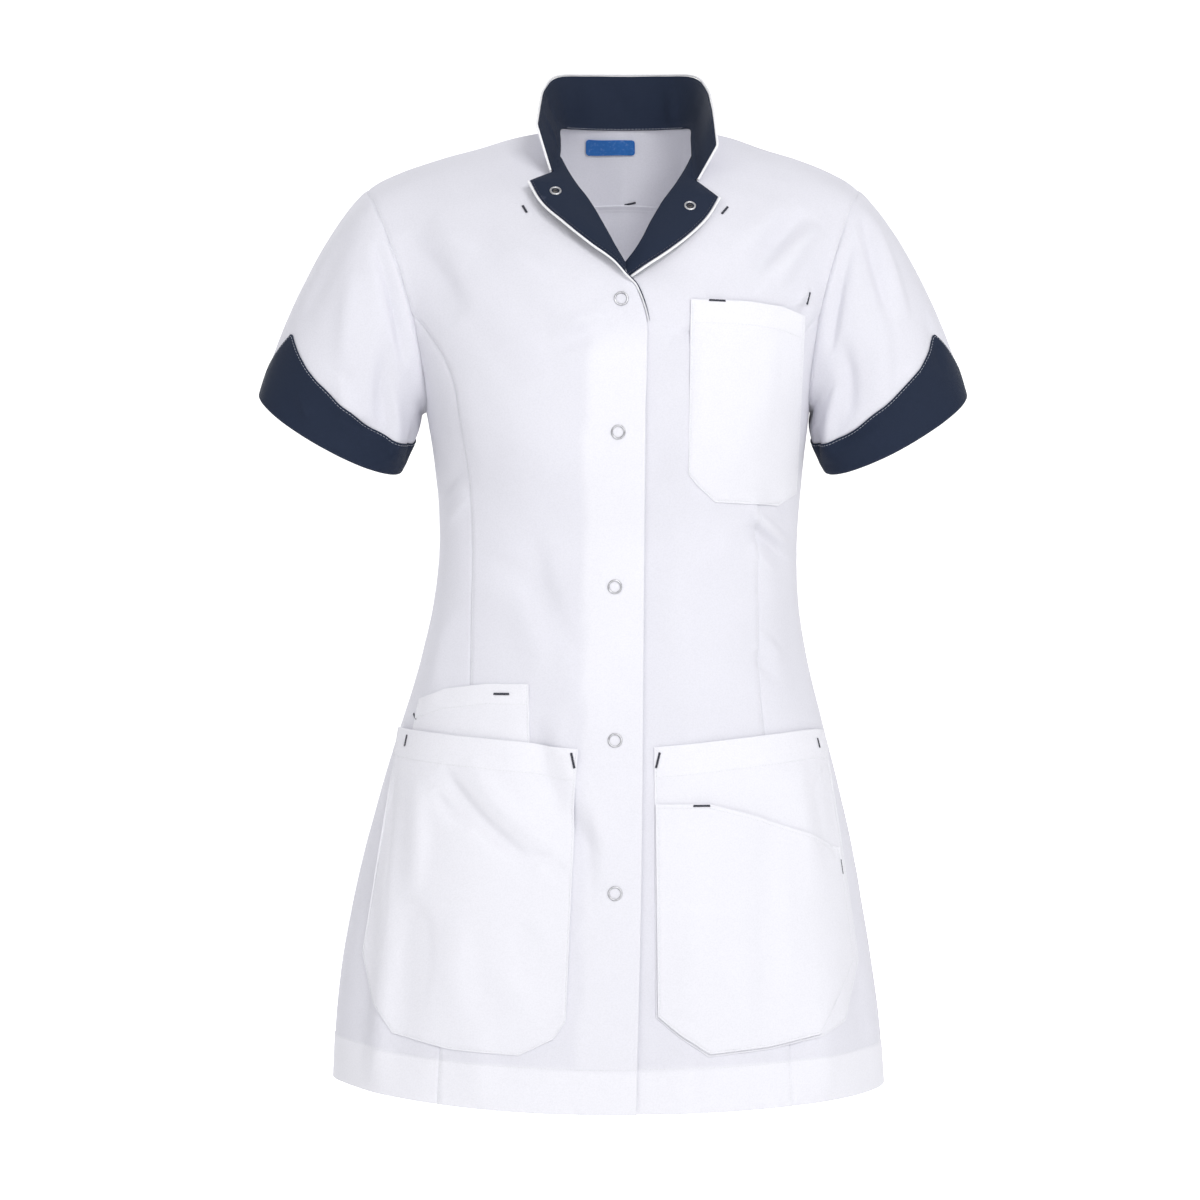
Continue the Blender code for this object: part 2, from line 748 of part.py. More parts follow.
def inset(points, first_column=0.0, last_column=0.0, first_row=0.0, last_row=0.0):
    """The grid with its edges drawn in by these distances, to leave the gaps at the seams."""
    points = points.copy()
    for distance, edge, beside in ((first_column, 0, 1), (last_column, -1, -2)):
        points[:, edge] += unit(points[:, beside] - points[:, edge]) * distance
    for distance, edge, beside in ((first_row, 0, 1), (last_row, -1, -2)):
        points[edge] += unit(points[beside] - points[edge]) * distance
    return points


def panel(name, points, look):
    axis = points * (0.0, 0.0, 1.0)
    normals = grid_normals(points, axis)
    return wall(name, points - normals * WALL / 2, points + normals * WALL / 2, look)


def tube(name, path, radius, look):
    """A closed round cord through the points."""
    curve = bpy.data.curves.new(name, "CURVE")
    curve.dimensions = "3D"
    curve.bevel_depth = radius * MM
    curve.bevel_resolution = 1
    curve.use_fill_caps = True
    spline = curve.splines.new("POLY")
    spline.points.add(len(path) - 1)
    for point, place in zip(spline.points, path):
        point.co = (*(Vector(place) * MM), 1.0)
    curve.materials.append(look)
    made = bpy.data.objects.new(name, curve)
    bpy.context.collection.objects.link(made)
    return made


def ring_snap(name, place, normal, look):
    """An open ring of a press stud, lying on the cloth."""
    normal = Vector(normal).normalized()
    centre = Vector(place) + normal * (GAP + SNAP_WIRE)
    bpy.ops.mesh.primitive_torus_add(
        major_segments=16,
        minor_segments=6,
        major_radius=SNAP_RADIUS * MM,
        minor_radius=SNAP_WIRE * MM,
        location=centre * MM,
        rotation=normal.to_track_quat("Z", "Y").to_euler(),
    )
    made = bpy.context.object
    made.name = name
    made.data.materials.append(look)
    made.data.shade_smooth()
    return made


# What lies on the front


class Surface:
    """A surface of grids, found by looking along Y."""

    def __init__(self, grids):
        corners, faces = [], []
        for grid in grids:
            rows, columns = grid.shape[:2]
            base = len(corners)
            corners.extend(Vector(point) for point in grid.reshape(-1, 3))
            for row in range(rows - 1):
                for column in range(columns - 1):
                    first = base + row * columns + column
                    faces.append((first, first + 1, first + columns + 1, first + columns))
        self.tree = BVHTree.FromPolygons(corners, faces)

    def front(self, x, z):
        """The nearest point to the front at x and z."""
        hit = self.tree.ray_cast(Vector((x, -IN_FRONT, z)), Vector((0, 1, 0)))[0]
        if hit is None:
            hit = self.tree.find_nearest(Vector((x, -FACING_DEPTH, z)))[0]
        return np.array(hit)

    def back(self, x, z):
        """The back's point at x and z, seen from inside."""
        return np.array(self.tree.ray_cast(Vector((x, 0.0, z)), Vector((0, 1, 0)))[0])


def laid_grid(surface, columns, rows, splits):
    """Points on the front under a piece whose columns run from its top edge to its bottom edge."""
    columns = np.array(columns, float)
    stations = np.linspace(0, len(columns) - 1, (len(columns) - 1) * splits + 1)
    base = np.arange(len(columns))
    edges = [np.interp(stations, base, columns[:, number]) for number in range(4)]
    grid = []
    for down in np.linspace(0, 1, rows + 1):
        x = edges[0] * (1 - down) + edges[2] * down
        z = edges[1] * (1 - down) + edges[3] * down
        grid.append([surface.front(*place) for place in zip(x, z)])
    return np.array(grid)


def puff(points, columns, depth, stand):
    """How far a pocket stands off the front: most in the middle of its mouth, none at its sewn edges."""
    columns = np.array(columns, float)
    top, bottom = columns[:, 1].max(), columns[:, 3].min()
    left, right = columns[:, (0, 2)].min(), columns[:, (0, 2)].max()
    across = np.clip((points[..., 0] - left) / (right - left), 0, 1)
    up = np.clip((points[..., 2] - bottom) / (top - bottom), 0, 1)
    return depth * np.sin(math.pi * across) ** 1.5 * up * (1.4 - 0.4 * up) + stand * up


def laid_piece(name, surface, columns, lift, look, rows=POCKET_ROWS, thickness=LAYER):
    points = laid_grid(surface, columns, rows, POCKET_SPLITS)
    normals = grid_normals(points, points * (1.0, 0.0, 1.0) + (0.0, IN_FRONT, 0.0))
    off = lift(points)[..., None]
    return wall(name, points + normals * off, points + normals * (off + thickness), look)


# Sleeves and cuffs


def sleeve_rings(side, front, back, count, fractions):
    """The sleeve's rings from the armhole to the hem, each starting at the top of the arm."""
    half = count // 2
    front_fractions = np.linspace(1, 0, half + 1)
    loop = np.concatenate([
        front.outer.at(front_fractions),
        back.outer.at(front_fractions[::-1])[1:-1],
    ])
    turn = np.arange(count) * 2 * math.pi / count
    outer, inner = np.array(SLEEVE_OUTER), np.array(SLEEVE_INNER)
    middle, reach = (outer + inner) / 2, (outer - inner) / 2
    length = np.linalg.norm(reach)
    arm = np.array((side * reach[1], 0.0, -reach[0])) / length
    hem = np.stack([
        side * (middle[0] + reach[0] * np.cos(turn)),
        SLEEVE_CENTRE_Y - SLEEVE_HALF_DEPTH * np.sin(turn),
        middle[1] + reach[1] * np.cos(turn),
    ], axis=1)
    hem += arm * (SLEEVE_FRONT_DIP * np.sin(turn))[:, None]
    setting = through(np.linspace(0, 1, 5), SLEEVE_STARTS, np.arange(count) / count)
    heading = setting[:, :3] * (side, 1.0, 1.0)
    heading = unit(heading)
    under = np.clip(-np.cos(turn), 0, 1)[:, None] ** 2
    start = loop + heading * (SLEEVE_START + SLEEVE_UNDER_GAP * under)
    first = start + heading * setting[:, 3:]
    arrival = through(np.linspace(0, 1, 5), SLEEVE_ENDS, np.arange(count) / count)
    second = hem - arrival[:, :3] * (side, 1.0, 1.0) * arrival[:, 3:]
    rings = []
    for t in fractions:
        left = 1 - t
        rings.append(left**3 * start + 3 * left**2 * t * first + 3 * left * t**2 * second + t**3 * hem)
    return np.array(rings)


def cuff_rings(rings, normals, heights):
    """Rings of the cuff and their normals: each column climbs the sleeve from the hem by its own height."""
    places, headings = [], []
    for column, height in enumerate(heights):
        line, outward = rings[::-1, column], normals[::-1, column]
        steps = np.linalg.norm(np.diff(line, axis=0), axis=1)
        along = np.concatenate(([0.0], np.cumsum(steps)))
        wanted = np.linspace(0, height, CUFF_ROWS + 1)
        places.append(np.stack([np.interp(wanted, along, line[:, axis]) for axis in range(3)], axis=1))
        headings.append(np.stack([np.interp(wanted, along, outward[:, axis]) for axis in range(3)], axis=1))
    return np.array(places).transpose(1, 0, 2), np.array(headings).transpose(1, 0, 2)


def make_sleeves(fronts, backs, white, navy):
    for side, word in ((RIGHT, "right"), (LEFT, "left")):
        patches = fronts[side].upper, backs[side]
        fractions = np.linspace(0, 1, SLEEVE_ROWS + 1) ** 1.25
        rings = sleeve_rings(side, *patches, SLEEVE_COLUMNS, fractions)
        normals = ring_normals(rings)
        wall(f"sleeve_{word}", rings - normals * WALL / 2, rings + normals * WALL / 2, white, closed=True)
        turn = np.arange(SLEEVE_COLUMNS) * 360.0 / SLEEVE_COLUMNS
        turn = np.minimum(turn, 360.0 - turn)
        heights = np.interp(turn, CUFF_HEIGHT[:, 0], CUFF_HEIGHT[:, 1])
        band, normals = cuff_rings(rings, normals, heights)
        low = WALL / 2 + CUFF_STAND
        wall(f"cuff_{word}", band + normals * low, band + normals * (low + LAYER), navy, closed=True)


# Collar and lapels


def collar_grid():
    """The collar's middle surface from its right front end round to its left one, and its seam."""
    right = placed_pairs(RIGHT, (*COLLAR, COLLAR_END[RIGHT]))
    left = placed_pairs(LEFT, (*COLLAR, COLLAR_END[LEFT]))
    stations = np.concatenate([right[::-1], left[1:]])
    seam, rim = Line(stations[:, :3]), Line(stations[:, 3:])
    along = np.linspace(0, 1, COLLAR_COLUMNS + 1)
    rows = [seam.at(along) * (1 - up) + rim.at(along) * up for up in np.linspace(0, 1, COLLAR_ROWS + 1)]
    return np.array(rows), seam


def placed_pairs(side, rows):
    points = np.array(rows, float)
    points[:, (0, 3)] = side * points[:, (0, 3)] + NECK_CENTRE
    return points


def make_collar(white, navy, cord_white):
    points, seam = collar_grid()
    axis = points * (0.0, 0.0, 1.0) + (NECK_CENTRE, 5.0, 0.0)
    normals = grid_normals(points, axis)
    half = GAP / 2
    wall("collar_inner", points - normals * (half + LAYER), points - normals * half, navy)
    wall("collar_outer", points + normals * half, points + normals * (half + LAYER), white)
    clear = PIPING_RADIUS + PIPING_GAP
    up = points[-1] - points[-2]
    rim = points[-1] + unit(up) * clear
    ends = []
    for column, beside in ((0, 1), (-1, -2)):
        away = unit(points[:, column] - points[:, beside]) * clear
        ends.append(points[:, column] + away)
        rim[column] += away[-1]
    path = np.concatenate([ends[0][:-1], rim, ends[1][-2::-1]])
    path[0] += unit(path[1] - path[0]) * PIPING_TRIM
    path[-1] += unit(path[-2] - path[-1]) * PIPING_TRIM
    tube("piping_collar", path, PIPING_RADIUS, cord_white)
    return seam


def lapel_grid(side, seam, rows, columns):
    """The turned-back lapel, from the roll line (first column) to its outer edge.

    The outer edge runs along the collar's seam to the notch, along the free top edge to the lapel's point,
    and down to the foot. rows gives the number of facets along each of the three.
    """
    notch, point = LAPEL_CORNERS[side]
    roll = placed(side, (*ROLL_LINE[::-1], LAPEL_FOOT[side]), NECK_CENTRE)
    roll = Line(roll - (0.0, LAPEL_LIFT, 0.0))
    edge = Line(placed(side, LAPEL_EDGE[side], NECK_CENTRE))
    on_seam = LAPEL_SEAM_START * np.linspace(1, 0, rows[0] + 1)
    on_seam = seam.at(on_seam if side == RIGHT else 1 - on_seam)
    along_top = np.linspace(0, 1, rows[1] + 1)[:, None]
    on_top = on_seam[-1] * (1 - along_top) + edge.at(0.0) * along_top
    on_edge = edge.at(np.linspace(0, LAPEL_END[side], rows[2] + 1))
    outer = np.concatenate([on_seam[:-1], on_top[:-1], on_edge])
    shares = np.concatenate([
        np.linspace(0, notch, rows[0] + 1)[:-1],
        np.linspace(notch, point, rows[1] + 1)[:-1],
        np.linspace(point, LAPEL_END[side], rows[2] + 1),
    ])
    inner = roll.at(shares)
    clear = np.concatenate([np.ones(rows[0]), 1 - along_top[:, 0], np.zeros(rows[2])])[:, None]
    outer = outer + unit(inner - outer) * LAPEL_SEAM_GAP * clear
    width = np.linalg.norm(outer - inner, axis=1)[:, None, None]
    share = np.linspace(0, 1, columns + 1)[:, None]
    belly = (0.0, -LAPEL_BELLY, 0.0) * np.sin(math.pi * share) * np.clip(width / LAPEL_WIDE, 0, 1)
    return inner[:, None] * (1 - share) + outer[:, None] * share + belly


def grid_place(points, across, down):
    """The place on a grid at fractions of its columns and rows."""
    column, row = across * (points.shape[1] - 1), down * (points.shape[0] - 1)
    left, above = int(column), int(row)
    column, row = column - left, row - above
    corners = points[above:above + 2, left:left + 2]
    line = corners[0] * (1 - row) + corners[1] * row
    return line[0] * (1 - column) + line[1] * column


def edge_piping():
    """The piping's way on down the edge of the right front, below the foot of its lapel."""
    edge = Line(RIGHT_EDGE_TOP)
    path = []
    for share in np.linspace(0, 1, EDGE_PIPING_STEPS + 1):
        height = EDGE_PIPING[0] * (1 - share) + EDGE_PIPING[1] * share
        place = edge.at(edge.fraction_at_height(height))
        forward = max(0.0, 1 - 4 * share)
        path.append(place + (PIPING_RADIUS + GAP, -forward * WALL, 0.0))
    return path


def make_lapel(side, word, seam, navy, cord_white, steel):
    points = lapel_grid(side, seam, LAPEL_ROWS, LAPEL_COLUMNS)
    normals = grid_normals(points, points + (0.0, IN_FRONT, 0.0))
    wall(f"lapel_{word}", points, points + normals * WALL, navy)
    middle = points + normals * WALL / 2
    middle = middle[sum(LAPEL_ROWS[:2]):]
    away = middle[:, -1] - middle[:, -2]
    along = unit(np.gradient(middle[:, -1], axis=0))
    away = unit(away - (away * along).sum(axis=1, keepdims=True) * along)
    path = list(middle[:, -1] + away * (PIPING_RADIUS + PIPING_GAP))
    if side == RIGHT:
        path += edge_piping()
    tube(f"piping_lapel_{word}", path, PIPING_RADIUS, cord_white)
    place, normal = (grid_place(grid, *LAPEL_SNAPS[side]) for grid in (points, normals))
    ring_snap(f"snap_lapel_{word}", place + normal * WALL, normal, steel)


# Build


def make_fronts(fronts, white):
    for side, word in ((RIGHT, "right"), (LEFT, "left")):
        centre = fronts[side].centre_rows(FRONT_COLUMNS + 1)
        panel(f"front_{word}", inset(centre, last_column=SEAM_INSET, last_row=RIDGE_INSET), white)
        beside = fronts[side].side_rows(SIDE_COLUMNS + 1)
        panel(f"side_front_{word}", inset(beside, first_column=SEAM_INSET, last_column=SEAM_INSET), white)


def make_back(backs, white):
    count = BACK_COLUMNS + 1
    lower = np.array([back_row(z, count) for z in body_heights(BODY_ROWS + 1)])
    upper = upper_back_rows(backs, underarm_line, yoke_seam, CHEST_ROWS - 2, count)
    points = lifted_hem(np.concatenate([lower, upper[1:]]))
    sewn = inset(points, first_column=SEAM_INSET, last_column=SEAM_INSET, last_row=SEAM_INSET)
    panel("back", sewn, white)
    yoke = upper_back_rows(backs, yoke_seam, shoulder_line, YOKE_ROWS + 1, count)
    panel("back_yoke", inset(yoke, first_row=SEAM_INSET, last_row=RIDGE_INSET), white)
    return yoke


def make_pockets(surface, white):
    def on_chest(points):
        return POCKET_REST + CHEST_POCKET_STAND + puff(points, CHEST_POCKET, CHEST_PUFF, 0.0)

    def on_right_hip(points):
        return POCKET_REST + puff(points, HIP_POCKET_RIGHT, HIP_PUFF, HIP_POCKET_STAND)

    def on_left_hip(points):
        return POCKET_REST + puff(points, HIP_POCKET_LEFT, HIP_PUFF, 0.0)

    def on_left_pocket(points):
        return on_left_hip(points) + LAYER + PHONE_POCKET_STAND

    def on_front(points):
        return np.full(points.shape[:2], UPPER_POCKET_REST)

    laid_piece("chest_pocket", surface, CHEST_POCKET, on_chest, white)
    laid_piece("upper_pocket", surface, UPPER_POCKET, on_front, white, 3, UPPER_POCKET_THICKNESS)
    laid_piece("hip_pocket_right", surface, HIP_POCKET_RIGHT, on_right_hip, white)
    laid_piece("hip_pocket_left", surface, HIP_POCKET_LEFT, on_left_hip, white)
    laid_piece("phone_pocket", surface, PHONE_POCKET, on_left_pocket, white)


def make_front_snaps(surface, steel):
    for number, (x, z) in enumerate(FRONT_SNAPS, start=1):
        left, right = surface.front(x - SNAP_RADIUS, z), surface.front(x + SNAP_RADIUS, z)
        below, above = surface.front(x, z - SNAP_RADIUS), surface.front(x, z + SNAP_RADIUS)
        normal = np.cross(right - left, above - below)
        normal *= -np.sign(normal[1])
        normal /= np.linalg.norm(normal)
        ring_snap(f"snap_{number}", surface.front(x, z) + normal * WALL / 2, normal, steel)


def make_label(yoke, blue):
    across, height, half_width, half_height = LABEL
    surface = Surface([yoke])
    points = np.array([
        [surface.back(x, z) for x in np.linspace(across - half_width, across + half_width, 5)]
        for z in (height - half_height, height, height + half_height)
    ])
    normals = grid_normals(points, points + (0.0, IN_FRONT, 0.0))
    low = WALL / 2 + LABEL_STAND
    wall("neck_label", points + normals * low, points + normals * (low + LABEL_THICKNESS), blue)


def build():
    clear_scene()
    white = material("white cloth", WHITE, 0.85)
    navy = material("navy cloth", NAVY, 0.8)
    cord_white = material("white piping", PIPING_WHITE, 0.7)
    blue = material("blue label", LABEL_BLUE, 0.6)
    steel = material("bright steel", STEEL, 0.3, metallic=1.0)
    fronts = {side: FrontForm(side) for side in (RIGHT, LEFT)}
    backs = {side: UpperPatch(side, False) for side in (RIGHT, LEFT)}
    make_fronts(fronts, white)
    yoke = make_back(backs, white)
    make_sleeves(fronts, backs, white, navy)
    seam = make_collar(white, navy, cord_white)
    make_lapel(RIGHT, "right", seam, navy, cord_white, steel)
    make_lapel(LEFT, "left", seam, navy, cord_white, steel)
    surface = Surface([fronts[side].whole_rows(FINE_COLUMNS) for side in (RIGHT, LEFT)])
    make_pockets(surface, white)
    make_front_snaps(surface, steel)
    make_label(yoke, blue)


build()
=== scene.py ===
"""The looks of a short-sleeved medical jacket in its worn form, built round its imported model.

Tables are in millimetres, and MM turns them into metres. +Z is up, the front faces -Y and +X is the wearer's
left. Sides are the wearer's: RIGHT is at -X. The surfaces follow the same sizes as the solids, only finer.
"""

import math

import bpy
import numpy as np
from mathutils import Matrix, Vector, noise
from mathutils.bvhtree import BVHTree


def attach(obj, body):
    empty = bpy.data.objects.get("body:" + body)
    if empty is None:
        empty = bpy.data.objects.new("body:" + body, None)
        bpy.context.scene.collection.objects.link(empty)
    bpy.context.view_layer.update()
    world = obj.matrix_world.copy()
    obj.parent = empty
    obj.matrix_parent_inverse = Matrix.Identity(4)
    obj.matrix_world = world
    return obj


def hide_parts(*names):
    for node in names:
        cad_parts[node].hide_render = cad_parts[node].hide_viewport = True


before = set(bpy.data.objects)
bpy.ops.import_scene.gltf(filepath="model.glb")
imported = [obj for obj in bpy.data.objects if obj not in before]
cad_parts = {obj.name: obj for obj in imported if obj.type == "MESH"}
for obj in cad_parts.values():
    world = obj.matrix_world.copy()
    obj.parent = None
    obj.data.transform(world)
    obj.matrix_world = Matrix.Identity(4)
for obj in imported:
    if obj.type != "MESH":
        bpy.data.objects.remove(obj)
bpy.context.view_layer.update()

MM = 0.001
RIGHT, LEFT = -1, 1
SIDES = ((RIGHT, "right"), (LEFT, "left"))
FORWARDS, BACKWARDS = -1, 1

# Cloth
WALL = 1.5
GAP = 0.3

# Heights
HEM = -709.0
UNDERARM = -200.0
# The rise at the underarm height is read from this far below it
RISE_STEP = 8.0
PRINCESS_TOP = -131.0
# The side front ends at this share of the way up to the princess seam's top
SIDE_FRONT_END = 0.985
HEM_RISE_RIGHT, HEM_RISE_LEFT = 13.0, 8.0
# The hem's rise fades out at this height, and is full this far from the centre
HEM_RISE_TOP, HEM_RISE_OUT = -400.0, 200.0

# Body sections: height, sideways place of the centre, half width, depth of the front and of the back
BODY = np.array((
    (-712, -3.5, 205.5, 130, 127),
    (-660, -4, 202.5, 129, 127),
    (-600, -4.5, 195, 127, 125),
    (-540, -3.5, 184.5, 123, 121),
    (-480, -2, 170, 117, 114),
    (-430, -0.5, 156, 109, 105),
    (-385, 1, 144, 101, 96),
    (-340, 2.5, 135.5, 96, 89),
    (-296, 4, 133, 97, 89),
    (-260, 4.5, 135, 107, 95),
    (-225, 4, 139, 115, 102),
    (-200, 3.5, 142.5, 116, 106),
))
# The power of the sections' curve: 2 is an ellipse, and more is squarer
SECTION_ROUND = 2.25

# Bust fullness, on each side of its middle: how far out, height, spread and depth
BUST_MIDDLE, BUST_OUT, BUST_Z, BUST_SPREAD, BUST_DEPTH = 3.0, 78.0, -222.0, 31.0, 8.0
# Folds and fullness fade where the front turns to the side, nearer the middle than this
FACING_DEPTH = 50.0

# Princess seam: height and distance from the centre line
PRINCESS = np.array((
    (-712, 128),
    (-669, 126),
    (-560, 118),
    (-450, 110),
    (-408, 106),
    (-341, 105),
    (-300, 104),
    (-270, 105),
    (-227, 110),
    (-200, 114.5),
))

# Front edge of the right front: height and place across; the left front reaches UNDERLAP further under it
FRONT_EDGE = np.array((
    (-712, 16),
    (-540, 20),
    (-400, 21.5),
    (-200, 23),
))
UNDERLAP = 41.0
UNDERLAP_START, UNDERLAP_FADE = 4.0, 36.0
UNDERLAP_DROP = 2.8

# Neck: the roll line of the open front from its foot up, then the neck seam to the centre back
# Columns: distance out from the neck's centre, depth, height
NECK_CENTRE = 9.5
ROLL_LINE = (
    (10, -94, -84),
    (20, -81, -65),
    (29, -68, -49),
    (38, -56, -36),
    (44, -42, -25),
    (49.5, -24, -12),
)
NECK_SIDE = (
    (51.5, -4, 3),
    (52.5, 11, 12),
)
BACK_NECK = (
    (44, 38, 17.5),
    (24, 57, 19.5),
    (0, 62, 20),
)
# The front edges between the underarm height and the foot of the roll line, place across, depth, height
RIGHT_EDGE_TOP = (
    (23, -116, -200),
    (24, -111.5, -165),
    (23.5, -108.5, -138),
    (18.5, -106.5, -121),
    (10.5, -103, -105),
)
LEFT_EDGE_TOP = (
    (-18, -116, -200),
    (-17, -111.5, -165),
    (-14, -108, -135),
    (-4, -105.5, -115),
    (9, -100, -101),
)

# Armhole and shoulder ridge: distance out, depth, height
FRONT_ARMHOLE = (
    (142.5, 0, -200),
    (140.5, -28, -190),
    (143.5, -46, -165),
    (149, -54, -135),
    (157, -54, -104),
    (167, -45, -74),
    (178, -25, -46),
    (184, 0, -34),
)
BACK_ARMHOLE = (
    (142.5, 0, -200),
    (141, 30, -189),
    (145, 52, -160),
    (151, 61, -129),
    (159, 61, -98),
    (168, 51, -70),
    (178, 28, -45),
    (184, 0, -34),
)
SHOULDER = (
    (52.5, 11, 12),
    (82, 9, 6),
    (106, 7, -2),
    (136, 4, -11),
    (161, 2, -20.5),
    (175, 1, -27.5),
    (184, 0, -34),
)
ARMHOLE_SHIFT = 3.5
# Centre back above the underarm height: place across, depth, height
CENTRE_BACK = (
    (3.5, 106, -200),
    (4, 105, -150),
    (5, 100, -100),
    (6.5, 89, -50),
    (8, 76, -10),
    (9.5, 62, 20),
)
YOKE_SEAM, YOKE_DROP = -39.0, 32.0
# How strongly the cloth turns over the shoulder and into the back of the neck
SHOULDER_TURN, NECK_TURN = 190.0, 0.8

# Soft folds of the fronts: from and to across and up, half width, depth outwards
FOLDS = np.array((
    (168, -62, 62, -138, 13, 2.6),
    (150, -105, 88, -170, 11, -2.2),
    (-84, -88, -12, -148, 13, 2.4),
    (-120, -120, -60, -190, 12, -2),
    (-118, -170, -92, -262, 11, 2.2),
    (-58, -330, -8, -446, 15, 2.8),
    (-100, -300, -40, -350, 10, -1.8),
    (98, -285, 52, -330, 10, 2),
    (104, -330, 60, -362, 9, -1.8),
    (-168, -470, -172, -650, 12, 2.6),
    (-148, -520, -152, -700, 11, -2.4),
    (156, -560, 160, -705, 13, 2.4),
    (40, -560, 34, -706, 20, -2),
))

# Sleeve: hem loop's outer and inner ends (out, height), depth of its centre, half depth, dip of its front
SLEEVE_OUTER = (262.0, -186.0)
SLEEVE_INNER = (160.0, -244.0)
SLEEVE_CENTRE_Y = -6.0
SLEEVE_HALF_DEPTH = 42.0
SLEEVE_FRONT_DIP = 12.0
SLEEVE_START, SLEEVE_UNDER_GAP = 1.0, 1.0
# How the top, front, underside, back and top again set off from the armhole: direction out, along Y, up,
# and reach
SLEEVE_STARTS = (
    (0.72, 0, -0.69, 46),
    (0.80, -0.42, -0.43, 44),
    (0.96, 0, -0.28, 8),
    (0.80, 0.42, -0.43, 44),
    (0.72, 0, -0.69, 46),
)
# How the same five arrive at the hem: direction out, along Y, up, and reach
SLEEVE_ENDS = (
    (0.24, 0, -0.97, 46),
    (0.49, 0, -0.87, 45),
    (0.50, 0, -0.87, 45),
    (0.49, 0, -0.87, 45),
    (0.24, 0, -0.97, 46),
)
# Cuff height along the sleeve by turn round it, 0 at the outer line and 180 at the inner one
CUFF_HEIGHT = np.array((
    (0, 10),
    (15, 31),
    (30, 56),
    (45, 48.5),
    (60, 42),
    (95, 33),
    (140, 25),
    (180, 23),
))

# Collar from the centre back to the front end: seam out, y, z, rim out, y, z
COLLAR = (
    (0, 62, 21.1, 0, 67, 61),
    (24, 57, 20.6, 30, 62, 60.5),
    (42, 40, 19, 52.5, 42, 56.5),
    (51.5, 12, 14.4, 61.5, 14, 42.5),
    (51.5, -8, 3.4, 63.5, -12, 29.5),
    (51.5, -28, -9.5, 64.5, -33, 18.5),
)
# Front ends of the collar, one row for the right side and one for the left
COLLAR_END = {
    RIGHT: (55.0, -51.0, -26.0, 65.5, -52.0, 8.0),
    LEFT: (52.0, -55.0, -33.0, 66.5, -54.0, -7.0),
}

# Lapels: notch, then the free edge from its point down to the foot of the opening: out, depth, height
LAPEL_EDGE = {
    RIGHT: (
        (70.5, -63, -34.5),
        (60.8, -78, -51.5),
        (44, -92, -67.5),
        (24.5, -102.5, -84),
        (8, -108.2, -97),
        (-1, -108.4, -107),
    ),
    LEFT: (
        (67, -68, -47),
        (58, -80, -62),
        (47.5, -90, -73.5),
        (28.5, -101.5, -89),
        (13, -105.5, -99.5),
        (2, -103.6, -107),
    ),
}
LAPEL_FOOT = {RIGHT: (-0.4, -102.7, -101.5), LEFT: (-3.0, -97.6, -101.5)}
# How far down its edge each lapel ends
LAPEL_END = {RIGHT: 0.975, LEFT: 0.965}
# Where the lapel's seam with the collar starts, as a share of the collar's length from its front end
LAPEL_SEAM_START, LAPEL_SEAM_GAP = 0.09, 2.1
# How far down the roll line the notch and the lapel's point stand
LAPEL_CORNERS = {RIGHT: (0.22, 0.34), LEFT: (0.27, 0.40)}
# A lapel bellies out fully where it is at least this wide
LAPEL_WIDE = 25.0
LAPEL_BELLY = 2.5
LAPEL_LIFT = 3.0

PIPING_RADIUS, PIPING_GAP = 0.9, 0.5
# Length of the binding's steps, and how often its corners are rounded
BINDING_STEP, COLLAR_SOFTENINGS, LAPEL_SOFTENINGS = 0.9, 6, 8
# Shares of a length and of the full radius there, for the right lapel's binding and for the facing's edge
BINDING_TAPER = ((0.0, 0.55, 1.0), (1.0, 0.95, 0.35))
FACING_TAPER = ((0.0, 0.75, 1.0), (1.0, 1.0, 0.25))
# The facing's edge: radius, and how far out from the binding and behind it it lies
FACING_RADIUS, FACING_OUT, FACING_BEHIND = 0.38, 1.15, 0.5
# How far the collar's piping ends above the lapels
PIPING_TRIM = 2.0
# Heights between which the piping goes on down the right front's edge
EDGE_PIPING = (-113.0, -140.0)
SNAP_RADIUS = 4.6
# Front snaps: place across and height
FRONT_SNAPS = (
    (5.5, -124),
    (3.3, -220.5),
    (1, -331.5),
    (1, -442),
    (1, -551),
)

# Pockets: columns from the viewer's left to right, each across and up at the top, then at the bottom
CHEST_POCKET = (
    (55.5, -124, 53.5, -250),
    (61, -124.5, 60, -258),
    (73, -124.5, 73, -270),
    (99, -125, 97, -271),
    (122, -127.5, 120, -271.5),
    (139, -133, 134.5, -262),
)
HIP_POCKET_RIGHT = (
    (-155.5, -436, -183, -600),
    (-149, -437, -174, -634),
    (-138, -438, -160, -655),
    (-110, -440.5, -117, -664),
    (-70, -443.5, -68, -667),
    (-45, -446, -43, -655),
    (-26, -449, -34, -642),
)
HIP_POCKET_LEFT = (
    (29, -447, 30, -640),
    (45, -446, 47, -654),
    (66, -444, 68, -668),
    (105, -440, 112, -664),
    (135, -437, 150, -657),
    (148, -436.5, 168, -648),
    (154.5, -438, 180, -605),
)
UPPER_POCKET = (
    (-142, -414, -150, -452),
    (-122, -406, -128, -455),
    (-91, -402, -91, -457),
    (-61, -402, -60, -459),
)
PHONE_POCKET = (
    (30, -488, 31.5, -639),
    (46, -488, 48, -652.5),
    (68, -488, 69, -666),
    (105, -498, 112, -662),
    (137, -511, 149, -655),
    (163, -523, 174, -606),
)

# Label inside the yoke: across, height, half width, half height; how far it stands off, its cloth and corners
LABEL = (-2.0, 7.0, 19.0, 5.5)
LABEL_OFF, LABEL_CLOTH, LABEL_ROUNDING = 1.3, 0.5, 2.2

# A distance beyond the front of the jacket, and a length that stands for none
IN_FRONT = 400.0
LEAST = 1e-9

